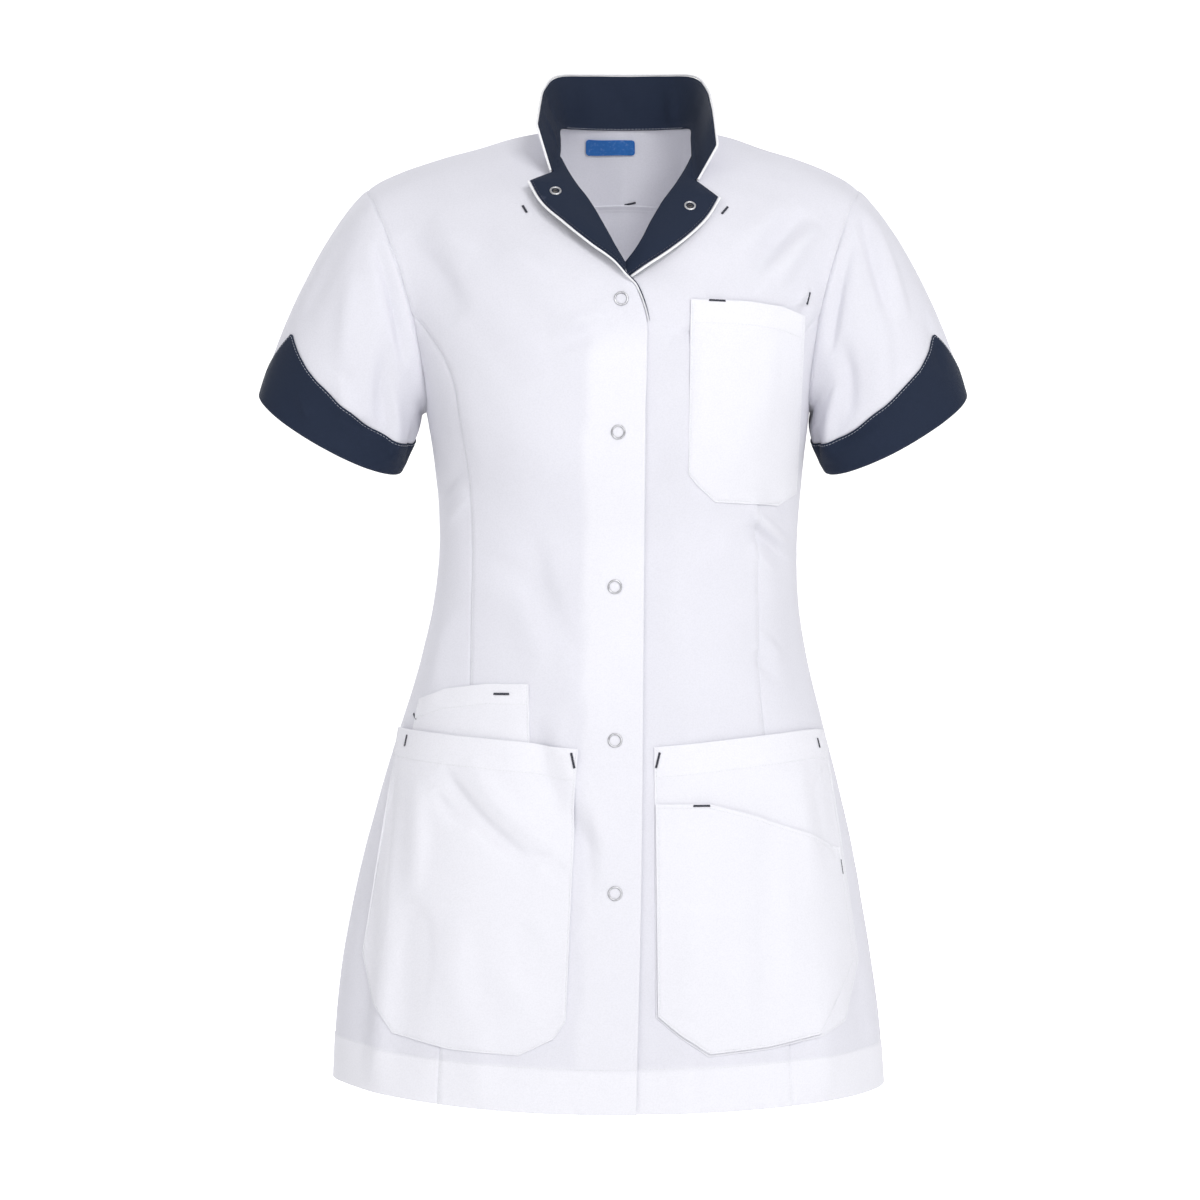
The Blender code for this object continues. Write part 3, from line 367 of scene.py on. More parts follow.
# Numbers of facets of the fine surfaces
BODY_ROWS, CHEST_ROWS = 190, 84
FRONT_COLUMNS, SIDE_COLUMNS, BACK_COLUMNS = 54, 44, 78
BACK_CHEST_ROWS, YOKE_ROWS = 62, 34
SLEEVE_ROWS, SLEEVE_COLUMNS, CUFF_ROWS = 62, 136, 14
COLLAR_COLUMNS, COLLAR_ROWS = 150, 16
LAPEL_ROWS, LAPEL_COLUMNS = (9, 7, 56), 18
EDGE_PIPING_STEPS = 14
FINE_ROWS, FINE_COLUMNS = 150, 90
POCKET_STEP = 2.6
LABEL_ROWS, LABEL_COLUMNS = 16, 40

# Shares of the first cell at which an edge gets its extra lines, so that it can be rounded and stitched
EDGE_SHARES = (0.05, 0.16, 0.32, 0.56, 0.84)
RIM_LEAST = 0.25

# Creases listed for the fronts. Columns: from across and up, to across and up, how far its middle
# bows aside, half width on its one and its other side, depth outwards
FRONT_CREASES = (
    (130.5, -127.5, 142.5, -112, 0, 1.7, 3.2, 1.3),
    (136, -130.5, 143.5, -124, 0, 2.5, 3.5, -0.8),
    (144, -56, 97, -118, 5, 6, 11, -1.9),
    (152, -66, 118, -112, 3, 7, 8, 1.5),
    (128, -48, 86, -84, -3, 8, 12, 0.9),
    (-157, -72, -110, -136, -6, 9, 16, -1.7),
    (-134, -60, -100, -90, 2, 8, 9, 1),
    (-88, -70, -40, -106, 4, 7, 10, 0.9),
    (4, -134, -46, -150, 2, 4, 7, 0.9),
    (0, -142, -52, -163, -2, 5, 8, -0.7),
    (34, -152, 66, -144, 1, 4, 7, -0.8),
    (-60, -290, -26, -384, 6, 9, 16, -1.3),
    (-74, -330, -50, -402, -3, 8, 12, 0.9),
    (98, -270, 130, -300, 2, 3.5, 5.5, 1.5),
    (97, -284, 128, -313, -1.5, 3.5, 5, -1.6),
    (104, -258, 133, -284, 1, 4, 5, -0.9),
    (100, -300, 122, -325, 1.5, 3.5, 5, 0.9),
    (103, -377, 121, -399, 1, 3, 5, -1),
    (106, -366, 124, -386, -1, 3.5, 5, 0.8),
    (-108, -246, -134, -272, 2, 4, 6, -0.9),
    (-104, -262, -128, -292, -1, 4, 7, 0.8),
    (-57, -424, -11, -530, 7, 8, 14, -1.8),
    (-44, -418, -2, -520, 5, 7, 10, 1.1),
    (-24, -470, -16, -560, -2, 5, 9, -1.2),
    (-118, -345, -132, -420, 3, 8, 13, 1.1),
    (132, -340, 140, -430, -4, 8, 12, -1.2),
    (44, -300, 58, -420, 4, 12, 18, 0.8),
    (47, -216, 27, -268, 3, 10, 14, -0.6),
    (-92, -640, -96, -704, 2, 8, 12, 0.8),
    (-178, -520, -190, -700, -5, 9, 12, -1.6),
    (-160, -600, -170, -708, 4, 8, 10, 1.2),
    (60, -650, 57, -708, 0, 8, 12, -0.7),
    (176, -520, 190, -706, 4, 9, 12, -1.5),
    (146, -620, 152, -708, -3, 8, 10, 1),
)
BACK_CREASES = (
    (-128, -104, -62, -178, 8, 10, 16, -2),
    (-138, -128, -92, -206, 5, 8, 12, 1.6),
    (122, -98, 66, -170, -7, 10, 15, -1.8),
    (136, -134, 96, -214, -5, 8, 12, 1.5),
    (-26, -250, -44, -412, 5, 11, 17, 1.9),
    (36, -236, 50, -420, -5, 11, 15, 1.7),
    (-66, -286, -94, -470, -7, 10, 16, -2.2),
    (80, -300, 106, -462, 6, 10, 15, -2),
    (6, -300, 2, -456, 3, 9, 12, -1.2),
    (-18, -470, -34, -702, -6, 13, 20, 2.1),
    (38, -500, 54, -706, 5, 13, 18, -1.9),
    (-84, -500, -112, -704, 6, 13, 18, 2.2),
    (100, -520, 124, -704, -5, 12, 18, 2),
    (-142, -540, -166, -702, -5, 11, 15, -1.9),
    (150, -560, 168, -700, 4, 11, 15, -1.6),
    (-100, -300, -70, -330, 3, 5, 8, -1),
    (108, -318, 78, -346, -3, 5, 8, -0.9),
    (-8, -52, -30, -120, 4, 9, 14, 0.9),
)
# Every crease is this many times as deep as its table says
CREASE_DEPTH = 2.7
# Creases of the pockets, in the same columns
RIGHT_POCKET_CREASES = (
    (-122, -462, -52, -532, 7, 4, 9, -2),
    (-104, -458, -38, -520, 6, 7, 10, 1.5),
    (-60, -520, -28, -545, -2, 3.5, 6, -1.3),
    (-128, -480, -101, -506, 2, 3.5, 6, -1.1),
    (-142, -470, -146, -560, -5, 6, 10, 1.3),
    (-160, -468, -172, -600, 4, 6, 10, -1.8),
    (-138, -560, -150, -650, -4, 8, 12, -1.3),
    (-110, -560, -104, -655, 4, 10, 14, 0.9),
    (-68, -570, -52, -600, 2, 6, 9, -0.9),
    (-88, -600, -60, -640, -3, 9, 12, 0.7),
)
LEFT_POCKET_CREASES = (
    (112, -470, 118, -662, 4, 9, 14, -1.3),
    (134, -456, 150, -560, 4, 8, 10, 1.2),
    (158, -452, 175, -560, 3, 5, 7, -1.7),
    (146, -470, 164, -530, -2, 5, 7, -1),
    (60, -560, 50, -640, -4, 12, 14, 0.7),
    (90, -590, 98, -660, 3, 10, 12, 0.8),
)
CHEST_POCKET_CREASES = (
    (60, -150, 72, -235, 3, 9, 12, 0.5),
    (128, -140, 122, -235, -3, 7, 9, -0.8),
    (96, -150, 88, -230, 2, 12, 15, -0.4),
    (64, -132, 112, -138, 1, 5, 7, -0.4),
)
# Creases of the sleeves. Columns: from turn and share of the length, to turn and share, then as above
# The turn is 0 at the outer line, 90 at the front, 180 at the inner line and 270 at the back
SLEEVE_CREASES = {
    RIGHT: (
        (48, 0.06, 128, 0.16, 4, 6, 13, -2.2),
        (52, 0.22, 84, 0.60, 4, 9, 13, 0.9),
        (84, 0.62, 104, 0.86, 3, 8, 10, 1.2),
        (96, 0.80, 132, 0.70, -2, 5, 8, -1.2),
        (112, 0.18, 132, 0.72, -4, 8, 12, -1.8),
        (128, 0.30, 150, 0.90, 3, 7, 10, 1.3),
        (20, 0.10, 36, 0.62, 4, 10, 14, -0.8),
        (60, 0.84, 80, 0.94, 1, 4, 6, 0.8),
        (160, 0.30, 176, 0.86, 3, 8, 10, -1.4),
        (228, 0.16, 244, 0.74, 4, 9, 13, -1.9),
        (262, 0.20, 276, 0.82, -4, 9, 14, 1.5),
        (300, 0.10, 322, 0.66, 3, 10, 14, -1.1),
        (210, 0.40, 222, 0.90, 2, 7, 10, 1.2),
    ),
    LEFT: (
        (46, 0.05, 122, 0.15, 4, 6, 12, -1.9),
        (26, 0.04, 66, 0.44, 5, 5, 8, -1.6),
        (18, 0.08, 52, 0.52, 4, 6, 9, 1.2),
        (70, 0.34, 94, 0.78, 4, 10, 15, 1.3),
        (112, 0.16, 124, 0.66, -4, 8, 11, -1.7),
        (104, 0.82, 140, 0.74, 2, 5, 7, -1.1),
        (132, 0.28, 152, 0.88, 3, 7, 10, 1.4),
        (30, 0.56, 44, 0.82, -2, 7, 10, -0.7),
        (164, 0.34, 178, 0.84, -3, 8, 10, -1.3),
        (232, 0.14, 250, 0.70, 4, 9, 12, -1.8),
        (270, 0.22, 280, 0.80, -4, 9, 14, 1.4),
        (306, 0.12, 326, 0.60, 3, 10, 14, -1),
        (206, 0.42, 220, 0.90, 2, 7, 9, 1.1),
    ),
}
# Lengths that turn the sleeve's turn and share into distances
SLEEVE_ROUND, SLEEVE_LONG = 62.0, 160.0
# Within this distance the armhole's seam holds the sleeve's creases down, to this share at the seam
SLEEVE_HOLD, SLEEVE_HELD = 12.0, 0.15
# The rings of a sleeve lie closer together near the armhole by this power
SLEEVE_CLOSER = 1.15
# Creases of the collar. Columns: from place along and up, to place along and up, bow, half widths, depth
COLLAR_CREASES = (
    (38, 4, 30, 34, 2, 4, 6, -0.6),
    (72, 2, 80, 40, -2, 6, 8, 0.5),
    (112, 6, 118, 38, 2, 7, 9, -0.4),
    (158, 4, 150, 40, 2, 6, 8, 0.5),
    (196, 2, 204, 32, -2, 4, 6, -0.6),
)
# Uneven swells of the cloth: size across and depth
SWELLS = ((64.0, 0.55), (27.0, 0.20), (11.0, 0.05))
NAVY_SWELLS = ((40.0, 0.30), (14.0, 0.10))

# Places in the noise from which swells and puckers are read; the two panels of a seam share one
PANEL_SEED, SLEEVE_SEED, CUFF_SEED, COLLAR_SEED, LAPEL_SEED, POCKET_SEED = 2.0, 4.0, 6.0, 8.0, 12.0, 30.0
HEM_SEED, BACK_HEM_SEED, PRINCESS_SEED, SIDE_SEED, YOKE_SEED = 5.0, 7.0, 9.0, 13.0, 15.0
ARMHOLE_SEED, SLEEVE_TOP_SEED, PLACKET_SEED, WAVER_SEED = 17.0, 19.0, 21.0, 25.0

# Seams: how deep an edge sinks and within what distance, where its stitched line runs, and its groove
SEAM_SINK, SEAM_REACH = 0.55, 1.5
TUCK_REACH, TUCK_DEPTH = 4.0, 1.5
PRINCESS_DROP, PRINCESS_FALL = 0.7, 6.0
STITCHED_AT, GROOVE_DEPTH, GROOVE_WIDTH = 1.6, 0.30, 0.7
PUCKER_DEPTH, PUCKER_REACH, PUCKER_SIZE = 0.35, 5.0, 7.5
HEM_DEPTH, HEM_THICKER = 32.0, 0.35
PLACKET_WIDTH, PLACKET_THICKER = 43.0, 0.40
PLACKET_TOP, PLACKET_BLUR, PLACKET_BRIGHT = -148.0, 9.0, 0.85
PLACKET_FADE, PLACKET_DROP, PLACKET_WAVERS = -390.0, 0.35, ((38.0, 5.0), (13.0, 2.0))
PLACKET_GROOVE, PLACKET_PUCKER, PLACKET_TOP_BLUR, PLACKET_FADE_BLUR = 0.22, 0.2, 40.0, 160.0
STITCH_PITCH, STITCH_LENGTH, STITCH_RADIUS = 2.7, 2.1, 0.2
# How far along its edge each stitched line goes, where it isn't whole
PRINCESS_STITCHED_TO, LAPEL_STITCHED_TO, MOUTH_STITCHED = 0.93, 0.97, (0.02, 0.98)
# A stitch's heading is read over this far on each side of it
HEADING_STEP = 0.4

# How often a pocket's surface is evened out up and down, and how far a bartack stands off its cloth
POCKET_EASINGS = 40
BAR_LIFT = 0.3
# How thick the fine shells are, and how far a pocket's middle surface lies off the middle of the front
CLOTH, POCKET_CLOTH = 1.4, 0.9
POCKET_OFF = 1.25
# A pocket's edges hold its creases down within this distance
POCKET_HOLD = 9.0
# How bright a pocket's two layers are, and how much more its mouth's hem adds
POCKET_BRIGHT, MOUTH_BRIGHT = 0.85, 0.15
# Pockets: columns, creases and depth of the mouth's hem, then the pocket that it bellies with, how far its
# middle and its mouth stand off, and how far it stands off all over
POCKETS = {
    "chest_pocket": (CHEST_POCKET, CHEST_POCKET_CREASES, 17.0, CHEST_POCKET, 1.4, 0.6, 0.0),
    "upper_pocket": (UPPER_POCKET, (), 15.0, UPPER_POCKET, 0.0, 0.0, 0.0),
    "hip_pocket_right": (HIP_POCKET_RIGHT, RIGHT_POCKET_CREASES, 22.0, HIP_POCKET_RIGHT, 2.0, 1.4, 0.0),
    "hip_pocket_left": (HIP_POCKET_LEFT, LEFT_POCKET_CREASES, 22.0, HIP_POCKET_LEFT, 2.0, 0.0, 0.0),
    "phone_pocket": (PHONE_POCKET, LEFT_POCKET_CREASES, 3.0, HIP_POCKET_LEFT, 2.0, 0.0, 1.8),
}

# Bartacks: from across and up, to across and up, and what carries it
BARTACKS = (
    (69, -124.6, 80.5, -125, "chest_pocket"),
    (143.6, -116, 141.6, -124.4, "front"),
    (-30.4, -451, -28.2, -461.6, "hip_pocket_right"),
    (33.3, -451, 30.7, -461.6, "hip_pocket_left"),
    (-86.5, -409, -75.5, -409, "upper_pocket"),
    (-147, -425, -144.6, -429.6, "front"),
    (-151.6, -440.4, -153.2, -448.4, "hip_pocket_right"),
    (150.2, -443, 151.8, -449.5, "hip_pocket_left"),
    (57.4, -488.6, 69, -488.6, "phone_pocket"),
    (168.5, -531.5, 170.6, -541, "phone_pocket"),
    (-66.2, -52.9, -63.2, -58.2, "front"),
    (83.6, -53.8, 79.2, -59.3, "front"),
)
YOKE_BARTACK = (9.3, -35.4, 17.5, -33.5)
BARTACK_WIDTH, BARTACK_PITCH, BARTACK_RADIUS = 2.0, 0.46, 0.27
# A bar's cross threads: their slant and height. Its long threads: their height, distance apart and number
CROSS_SLANT, CROSS_LIFT, LONG_LIFT, LONG_APART, LONG_THREADS = 0.16, 0.25, 0.1, 0.9, 5
# Sides of a stitch, and the share of its length on each side of its middle at which it is full
GRAIN_SIDES, GRAIN_FULL = 5, 0.33

# Profile of a front ring and of a lapel ring: distance from the middle and height
RING = ((3.75, 0.0), (3.75, 0.55), (4.05, 0.95), (4.55, 1.15), (5.05, 0.95), (5.35, 0.45), (5.35, 0.0))
LAPEL_RING = ((2.9, 0.0), (2.9, 0.5), (3.15, 0.8), (3.6, 0.95), (4.1, 0.8), (4.4, 0.4), (4.4, 0.0))
SOCKET = ((0.5, 0.0), (0.55, 0.35), (0.9, 0.6), (1.5, 0.55), (2.0, 0.3), (2.1, 0.0))
LAPEL_RINGS = {RIGHT: (-42.2, -42.4), LEFT: (55.8, -54.0)}
RING_TURNS = 48

BLACK, WHITE = (0.0, 0.0, 0.0), (1.0, 1.0, 1.0)
# A wave texture of scale 1 has a wave to this many metres
WAVE_UNIT = 2 * math.pi / 20
# The twill's slant and its width in threads, and how deep its weave and its rumples are, in metres
TWILL_SLANT, TWILL_WIDTH = math.radians(58), 1.5
WEAVE_DEPTH, RUMPLE_DEPTH = 0.00012, 0.0006

# Names of the looks
WHITE_SLOT, NAVY_SLOT, PIPING_SLOT = "white_cloth", "navy_cloth", "white_piping"
STEEL_SLOT, LABEL_SLOT = "bright_steel", "blue_label"


def eased(t, start, rise, end, fall):
    """The curve from start to end with the tangents rise and fall, read at the shares t."""
    return (
        (2 * t**3 - 3 * t**2 + 1) * start
        + (t**3 - 2 * t**2 + t) * rise
        + (3 * t**2 - 2 * t**3) * end
        + (t**3 - t**2) * fall
    )


def unit(steps):
    return steps / np.linalg.norm(steps, axis=-1, keepdims=True)


def distances(points):
    """Distances along a line from its first point."""
    steps = np.linalg.norm(np.diff(points, axis=0), axis=1)
    return np.concatenate(([0.0], np.cumsum(steps)))


def read_along(along, values, at):
    """Points or directions of a line, read at distances along it."""
    return np.stack([np.interp(at, along, values[:, axis]) for axis in range(3)], axis=1)


def share_and_side(across, up, x0, z0, x1, z1):
    """The share of a line's way at which each place lies, and its distance to the line's side."""
    length = math.hypot(x1 - x0, z1 - z0)
    along_x, along_z = (x1 - x0) / length, (z1 - z0) / length
    share = ((across - x0) * along_x + (up - z0) * along_z) / length
    return share, (across - x0) * along_z - (up - z0) * along_x


def through(knots, values, at):
    """A smooth curve through the values at the rising knots, read at the places at."""
    knots = np.asarray(knots, float)
    values = np.asarray(values, float)
    at = np.clip(np.asarray(at, float), knots[0], knots[-1])
    slopes = np.gradient(values, knots, axis=0)
    index = np.clip(np.searchsorted(knots, at, side="right") - 1, 0, len(knots) - 2)
    span = knots[index + 1] - knots[index]
    t = (at - knots[index]) / span
    if values.ndim == 2:
        span = span[..., None]
        t = t[..., None]
    return eased(t, values[index], slopes[index] * span, values[index + 1], slopes[index + 1] * span)


class Line:
    """A smooth line through points, read by fraction of its length."""

    def __init__(self, points):
        self.points = np.asarray(points, float)
        along = distances(self.points)
        self.length = along[-1]
        self.knots = along / self.length

    def at(self, fraction):
        return through(self.knots, self.points, fraction)

    def heading(self, fraction):
        """The line's direction at a fraction, as long as the line."""
        step = 0.01
        low, high = max(0.0, fraction - step), min(1.0, fraction + step)
        return (self.at(high) - self.at(low)) / (high - low)

    def fraction_at_height(self, height):
        fractions = np.linspace(0.0, 1.0, 400)
        return fractions[np.argmin(np.abs(self.at(fractions)[:, 2] - height))]


def placed(side, rows, shift):
    """Rows of out, depth and height as points on one side, moved sideways by shift."""
    points = np.array(rows, float)
    points[:, 0] = side * points[:, 0] + shift
    return points


def resampled(points, count):
    """The same line with its points at even distances."""
    along = distances(points)
    return read_along(along, points, np.linspace(0.0, along[-1], count))


# Body below the underarm


def body_point(side, turn, height):
    """Middle of the cloth: turn is 0 at the centre front, 1 at the side and 2 at the centre back."""
    turn = np.asarray(turn, float)
    height = np.broadcast_to(np.asarray(height, float), turn.shape)
    centre, half_width, front, back = (
        through(BODY[:, 0], BODY[:, column], height) for column in range(1, 5)
    )
    across, along = np.sin(turn * math.pi / 2), np.cos(turn * math.pi / 2)
    power = 2 / SECTION_ROUND
    x = centre + side * half_width * np.sign(across) * np.abs(across) ** power
    depth = np.where(turn <= 1, -front, back)
    y = depth * np.abs(along) ** power
    return np.stack([x, y, height], axis=-1)


def turn_at(side, x, height):
    """The turn of the front whose point is at x."""
    centre = through(BODY[:, 0], BODY[:, 1], height)
    half_width = through(BODY[:, 0], BODY[:, 2], height)
    across = np.clip(side * (x - centre) / half_width, -1, 1)
    return math.asin(np.sign(across) * abs(across) ** (SECTION_ROUND / 2)) * 2 / math.pi


def body_run(side, height, start, end, count):
    fine = body_point(side, np.linspace(start, end, 160), height)
    return resampled(fine, count)


def front_edge_x(side, height):
    x = through(FRONT_EDGE[:, 0], FRONT_EDGE[:, 1], height)
    return x if side == RIGHT else x - UNDERLAP


def princess_x(side, height):
    return side * through(PRINCESS[:, 0], PRINCESS[:, 1], height) + 1.0


def body_heights(count):
    return np.linspace(HEM, UNDERARM, count)


def facing(points, way):
    """1 where the cloth faces forwards or backwards, and less near the middle of the body's depth."""
    return np.clip(way * points[..., 1] / FACING_DEPTH, 0, 1)


def lifted_hem(points):
    """The hem rises a little from the centre front to the sides."""
    low = np.clip((HEM_RISE_TOP - points[..., 2]) / (HEM_RISE_TOP - HEM), 0, 1)
    out = np.clip(np.abs(points[..., 0]) / HEM_RISE_OUT, 0, 1)
    rise = np.where(points[..., 0] < 0, HEM_RISE_RIGHT, HEM_RISE_LEFT)
    points = points.copy()
    points[..., 2] += rise * low**3 * out**2
    return points


def shaped_front(points):
    """Bust fullness and soft folds, which move the front forwards or back."""
    points = points.copy()
    x, z = points[..., 0], points[..., 2]
    outwards = np.zeros(x.shape)
    for side in (RIGHT, LEFT):
        away = (x - side * BUST_OUT - BUST_MIDDLE) ** 2 + (z - BUST_Z) ** 2
        outwards += BUST_DEPTH * np.exp(-away / (2 * BUST_SPREAD**2))
    for *line, half_width, depth in FOLDS:
        along, side = share_and_side(x, z, *line)
        ends = np.clip(1 - (2 * along - 1) ** 2, 0, 1)
        outwards += depth * ends * np.exp(-((side / half_width) ** 2))
    points[..., 1] -= outwards * facing(points, FORWARDS)
    return points


# Chest, shoulders and upper back


class UpperPatch:
    """The surface from the underarm height up to the shoulder, between an inner line and the armhole.

    u runs from the inner line (0) to the armhole (1), v from the underarm height (0) to the shoulder (1).
    """

    def __init__(self, side, front):
        self.side = side
        self.front = front
        neck_side = placed(side, NECK_SIDE, NECK_CENTRE)
        if front:
            edge = np.array(RIGHT_EDGE_TOP if side == RIGHT else LEFT_EDGE_TOP)
            roll = placed(side, ROLL_LINE, NECK_CENTRE)
            self.inner = Line(np.concatenate([edge, roll, neck_side]))
            self.start = turn_at(side, edge[0][0], UNDERARM)
        else:
            self.inner = Line(CENTRE_BACK)
            self.start = 2.0
        armhole = placed(side, FRONT_ARMHOLE if front else BACK_ARMHOLE, 0.0)
        armhole[:, 0] += ARMHOLE_SHIFT * (armhole[:, 2] - armhole[-1, 2]) / (UNDERARM - armhole[-1, 2])
        self.outer = Line(armhole)
        shoulder = placed(side, SHOULDER, 0.0)
        out = np.array(SHOULDER)[:, 0]
        shoulder[:, 0] += NECK_CENTRE * (out[-1] - out) / (out[-1] - out[0])
        self.ridge = Line(shoulder)
        self.back_neck = Line(placed(side, (*reversed(BACK_NECK), NECK_SIDE[-1]), NECK_CENTRE))
        self.neck_share = self.back_neck.length / (self.back_neck.length + self.ridge.length)
        neck_line = Line(np.concatenate([neck_side, placed(side, BACK_NECK, NECK_CENTRE)]))
        self.neck_arrival = neck_line.heading(neck_line.knots[1]) / neck_line.length * SHOULDER_TURN
        front_loop = placed(side, FRONT_ARMHOLE, 0.0)[-2]
        back_loop = placed(side, BACK_ARMHOLE, 0.0)[-2]
        over_top = back_loop - front_loop
        self.arm_arrival = unit(over_top) * SHOULDER_TURN

    def body_line(self, u, height):
        """The body at a height, from the inner line to the side."""
        return Line(body_run(self.side, height, self.start, 1.0, 40)).at(u)

    def bottom(self, u):
        return self.body_line(u, UNDERARM)

    def rise(self, u):
        """How the surface leaves the underarm height, as a tangent in v."""
        up = unit(self.bottom(u) - self.body_line(u, UNDERARM - RISE_STEP))
        height = np.linalg.norm(self.top(u) - self.bottom(u), axis=-1, keepdims=True)
        share = (u**4)[:, None]
        return (1 - share) * up * height + share * self.outer.heading(0.0)

    def neck_and_ridge(self, u):
        """The shares of the back neck and of the shoulder's ridge at which u lies."""
        on_neck = np.clip(u / self.neck_share, 0, 1)
        on_ridge = np.clip((u - self.neck_share) / (1 - self.neck_share), 0, 1)
        return on_neck, on_ridge

    def top(self, u):
        if self.front:
            return self.ridge.at(u)
        on_neck, on_ridge = self.neck_and_ridge(u)
        return np.where((u < self.neck_share)[:, None], self.back_neck.at(on_neck), self.ridge.at(on_ridge))

    def arrival(self, u):
        """How the surface reaches the shoulder, as a tangent in v, so that front and back meet smoothly."""
        if self.front:
            share = u[:, None]
            return (1 - share) * self.neck_arrival + share * self.arm_arrival
        on_neck, on_ridge = (share[:, None] for share in self.neck_and_ridge(u))
        over_ridge = -(1 - on_ridge) * self.neck_arrival - on_ridge * self.arm_arrival
        return (1 - on_neck) * self.inner.heading(1.0) * NECK_TURN + on_neck * over_ridge

    def spine(self, u, v):
        return eased(v[:, None], self.bottom(u), self.rise(u), self.top(u), self.arrival(u))

    def row(self, u, v):
        u = np.asarray(u, float)
        v = np.broadcast_to(np.asarray(v, float), u.shape)
        at_inner = self.inner.at(v) - self.spine(np.zeros(u.shape), v)
        at_outer = self.outer.at(v) - self.spine(np.ones(u.shape), v)
        return self.spine(u, v) + (1 - u)[:, None] * at_inner + u[:, None] * at_outer

    def v_at_height(self, u, heights):
        """For each u, the v at which the surface reaches its height."""
        tries = np.linspace(0, 1, 120)
        found = []
        for place, height in zip(u, heights):
            line = self.row(np.full(tries.shape, place), tries)
            found.append(np.interp(height, np.maximum.accumulate(line[:, 2]), tries))
        return np.array(found)


class FrontForm:
    """One side of the front: the rows of its panels, from the hem up."""

    def __init__(self, side):
        self.side = side
        self.upper = UpperPatch(side, True)
        self.princess_end = self.upper.outer.fraction_at_height(PRINCESS_TOP)
        start = self.upper.start
        seam = turn_at(side, princess_x(side, UNDERARM), UNDERARM)
        fine = body_point(side, np.linspace(start, 1.0, 200), UNDERARM)
        along = distances(fine)
        self.princess_start = np.interp(seam, np.linspace(start, 1.0, 200), along / along[-1])

    def princess_u(self, v):
        reach = min(v / self.princess_end, 1.0)
        return self.princess_start + (1 - self.princess_start) * reach**2

    def lower_row(self, height, centre_panel, count):
        seam = turn_at(self.side, princess_x(self.side, height), height)
        if centre_panel:
            start = turn_at(self.side, front_edge_x(self.side, height), height)
            return body_run(self.side, height, start, seam, count)
        return body_run(self.side, height, seam, 1.0, count)

    def centre_rows(self, count):
        lower = [self.lower_row(z, True, count) for z in body_heights(BODY_ROWS + 1)]
        upper = []
        for v in np.linspace(0, 1, CHEST_ROWS + 1)[1:]:
            upper.append(self.upper.row(np.linspace(0, self.princess_u(v), count), v))
        return self.layered(lifted_hem(shaped_front(np.array(lower + upper))))

    def side_rows(self, count):
        lower = [self.lower_row(z, False, count) for z in body_heights(BODY_ROWS + 1)]
        upper = []
        for v in np.linspace(0, self.princess_end * SIDE_FRONT_END, 5)[1:]:
            upper.append(self.upper.row(np.linspace(self.princess_u(v), 1, count), v))
        return lifted_hem(shaped_front(np.array(lower + upper)))

    def layered(self, points):
        """The left front steps back under the right one."""
        if self.side == RIGHT:
            return points
        points = points.copy()
        edge = through(FRONT_EDGE[:, 0], FRONT_EDGE[:, 1], points[..., 2]) + UNDERLAP_START
        under = np.clip(1 - (points[..., 0] - edge) / UNDERLAP_FADE, 0, 1)
        points[..., 1] += UNDERLAP_DROP * under * under * (3 - 2 * under)
        return points

    def whole_rows(self, count):
        """The whole side, from the centre line to the side seam, for what lies on it."""
        lower = [
            body_run(self.side, z, turn_at(self.side, front_edge_x(RIGHT, z), z), 1.0, count)
            for z in body_heights(FINE_ROWS)
        ]
        upper = [self.upper.row(np.linspace(0, 1, count), v) for v in np.linspace(0, 1, FINE_ROWS // 2)[1:]]
        return self.layered(lifted_hem(shaped_front(np.array(lower + upper))))


def back_row(height, count):
    right = body_run(RIGHT, height, 1.0, 2.0, count)
    left = body_run(LEFT, height, 1.0, 2.0, count)
    return np.concatenate([right, left[-2::-1]])


def upper_back_rows(patches, low, high, rows, count):
    """Rows of the upper back; low and high give v for each u."""
    u = np.linspace(1, 0, count)
    ends = {side: (low(patches[side], u), high(patches[side], u)) for side in (RIGHT, LEFT)}
    found = []
    for share in np.linspace(0, 1, rows):
        halves = []
        for side in (RIGHT, LEFT):
            start, end = ends[side]
            halves.append(patches[side].row(u, start * (1 - share) + end * share))
        found.append(np.concatenate([halves[0], halves[1][-2::-1]]))
    return np.array(found)


def yoke_seam(patch, u):
    return patch.v_at_height(u, YOKE_SEAM - YOKE_DROP * u**2)


def underarm_line(_patch, u):
    return np.zeros(u.shape)


def shoulder_line(_patch, u):
    return np.ones(u.shape)


# Meshes


def grid_normals(points, outward, closed=False):
    """Unit normals of a grid, on the side to which the directions in outward point."""
    if closed:
        along = np.roll(points, -1, axis=1) - np.roll(points, 1, axis=1)
    else:
        along = np.gradient(points, axis=1)
    normals = np.cross(along, np.gradient(points, axis=0))
    normals /= np.maximum(np.linalg.norm(normals, axis=-1, keepdims=True), LEAST)
    return -normals if (normals * outward).sum() < 0 else normals


class Surface:
    """A surface of grids, found by looking along Y."""

    def __init__(self, grids):
        corners, faces = [], []
        for grid in grids:
            rows, columns = grid.shape[:2]
            base = len(corners)
            corners.extend(Vector(point) for point in grid.reshape(-1, 3))
            for row in range(rows - 1):
                for column in range(columns - 1):
                    first = base + row * columns + column
                    faces.append((first, first + 1, first + columns + 1, first + columns))
        self.tree = BVHTree.FromPolygons(corners, faces)

    def front(self, x, z):
        """The nearest point to the front at x and z."""
        hit = self.tree.ray_cast(Vector((x, -IN_FRONT, z)), Vector((0, 1, 0)))[0]
        if hit is None:
            hit = self.tree.find_nearest(Vector((x, -FACING_DEPTH, z)))[0]
        return np.array(hit)

    def back(self, x, z):
        """The back's point at x and z, seen from inside."""
        return np.array(self.tree.ray_cast(Vector((x, 0.0, z)), Vector((0, 1, 0)))[0])


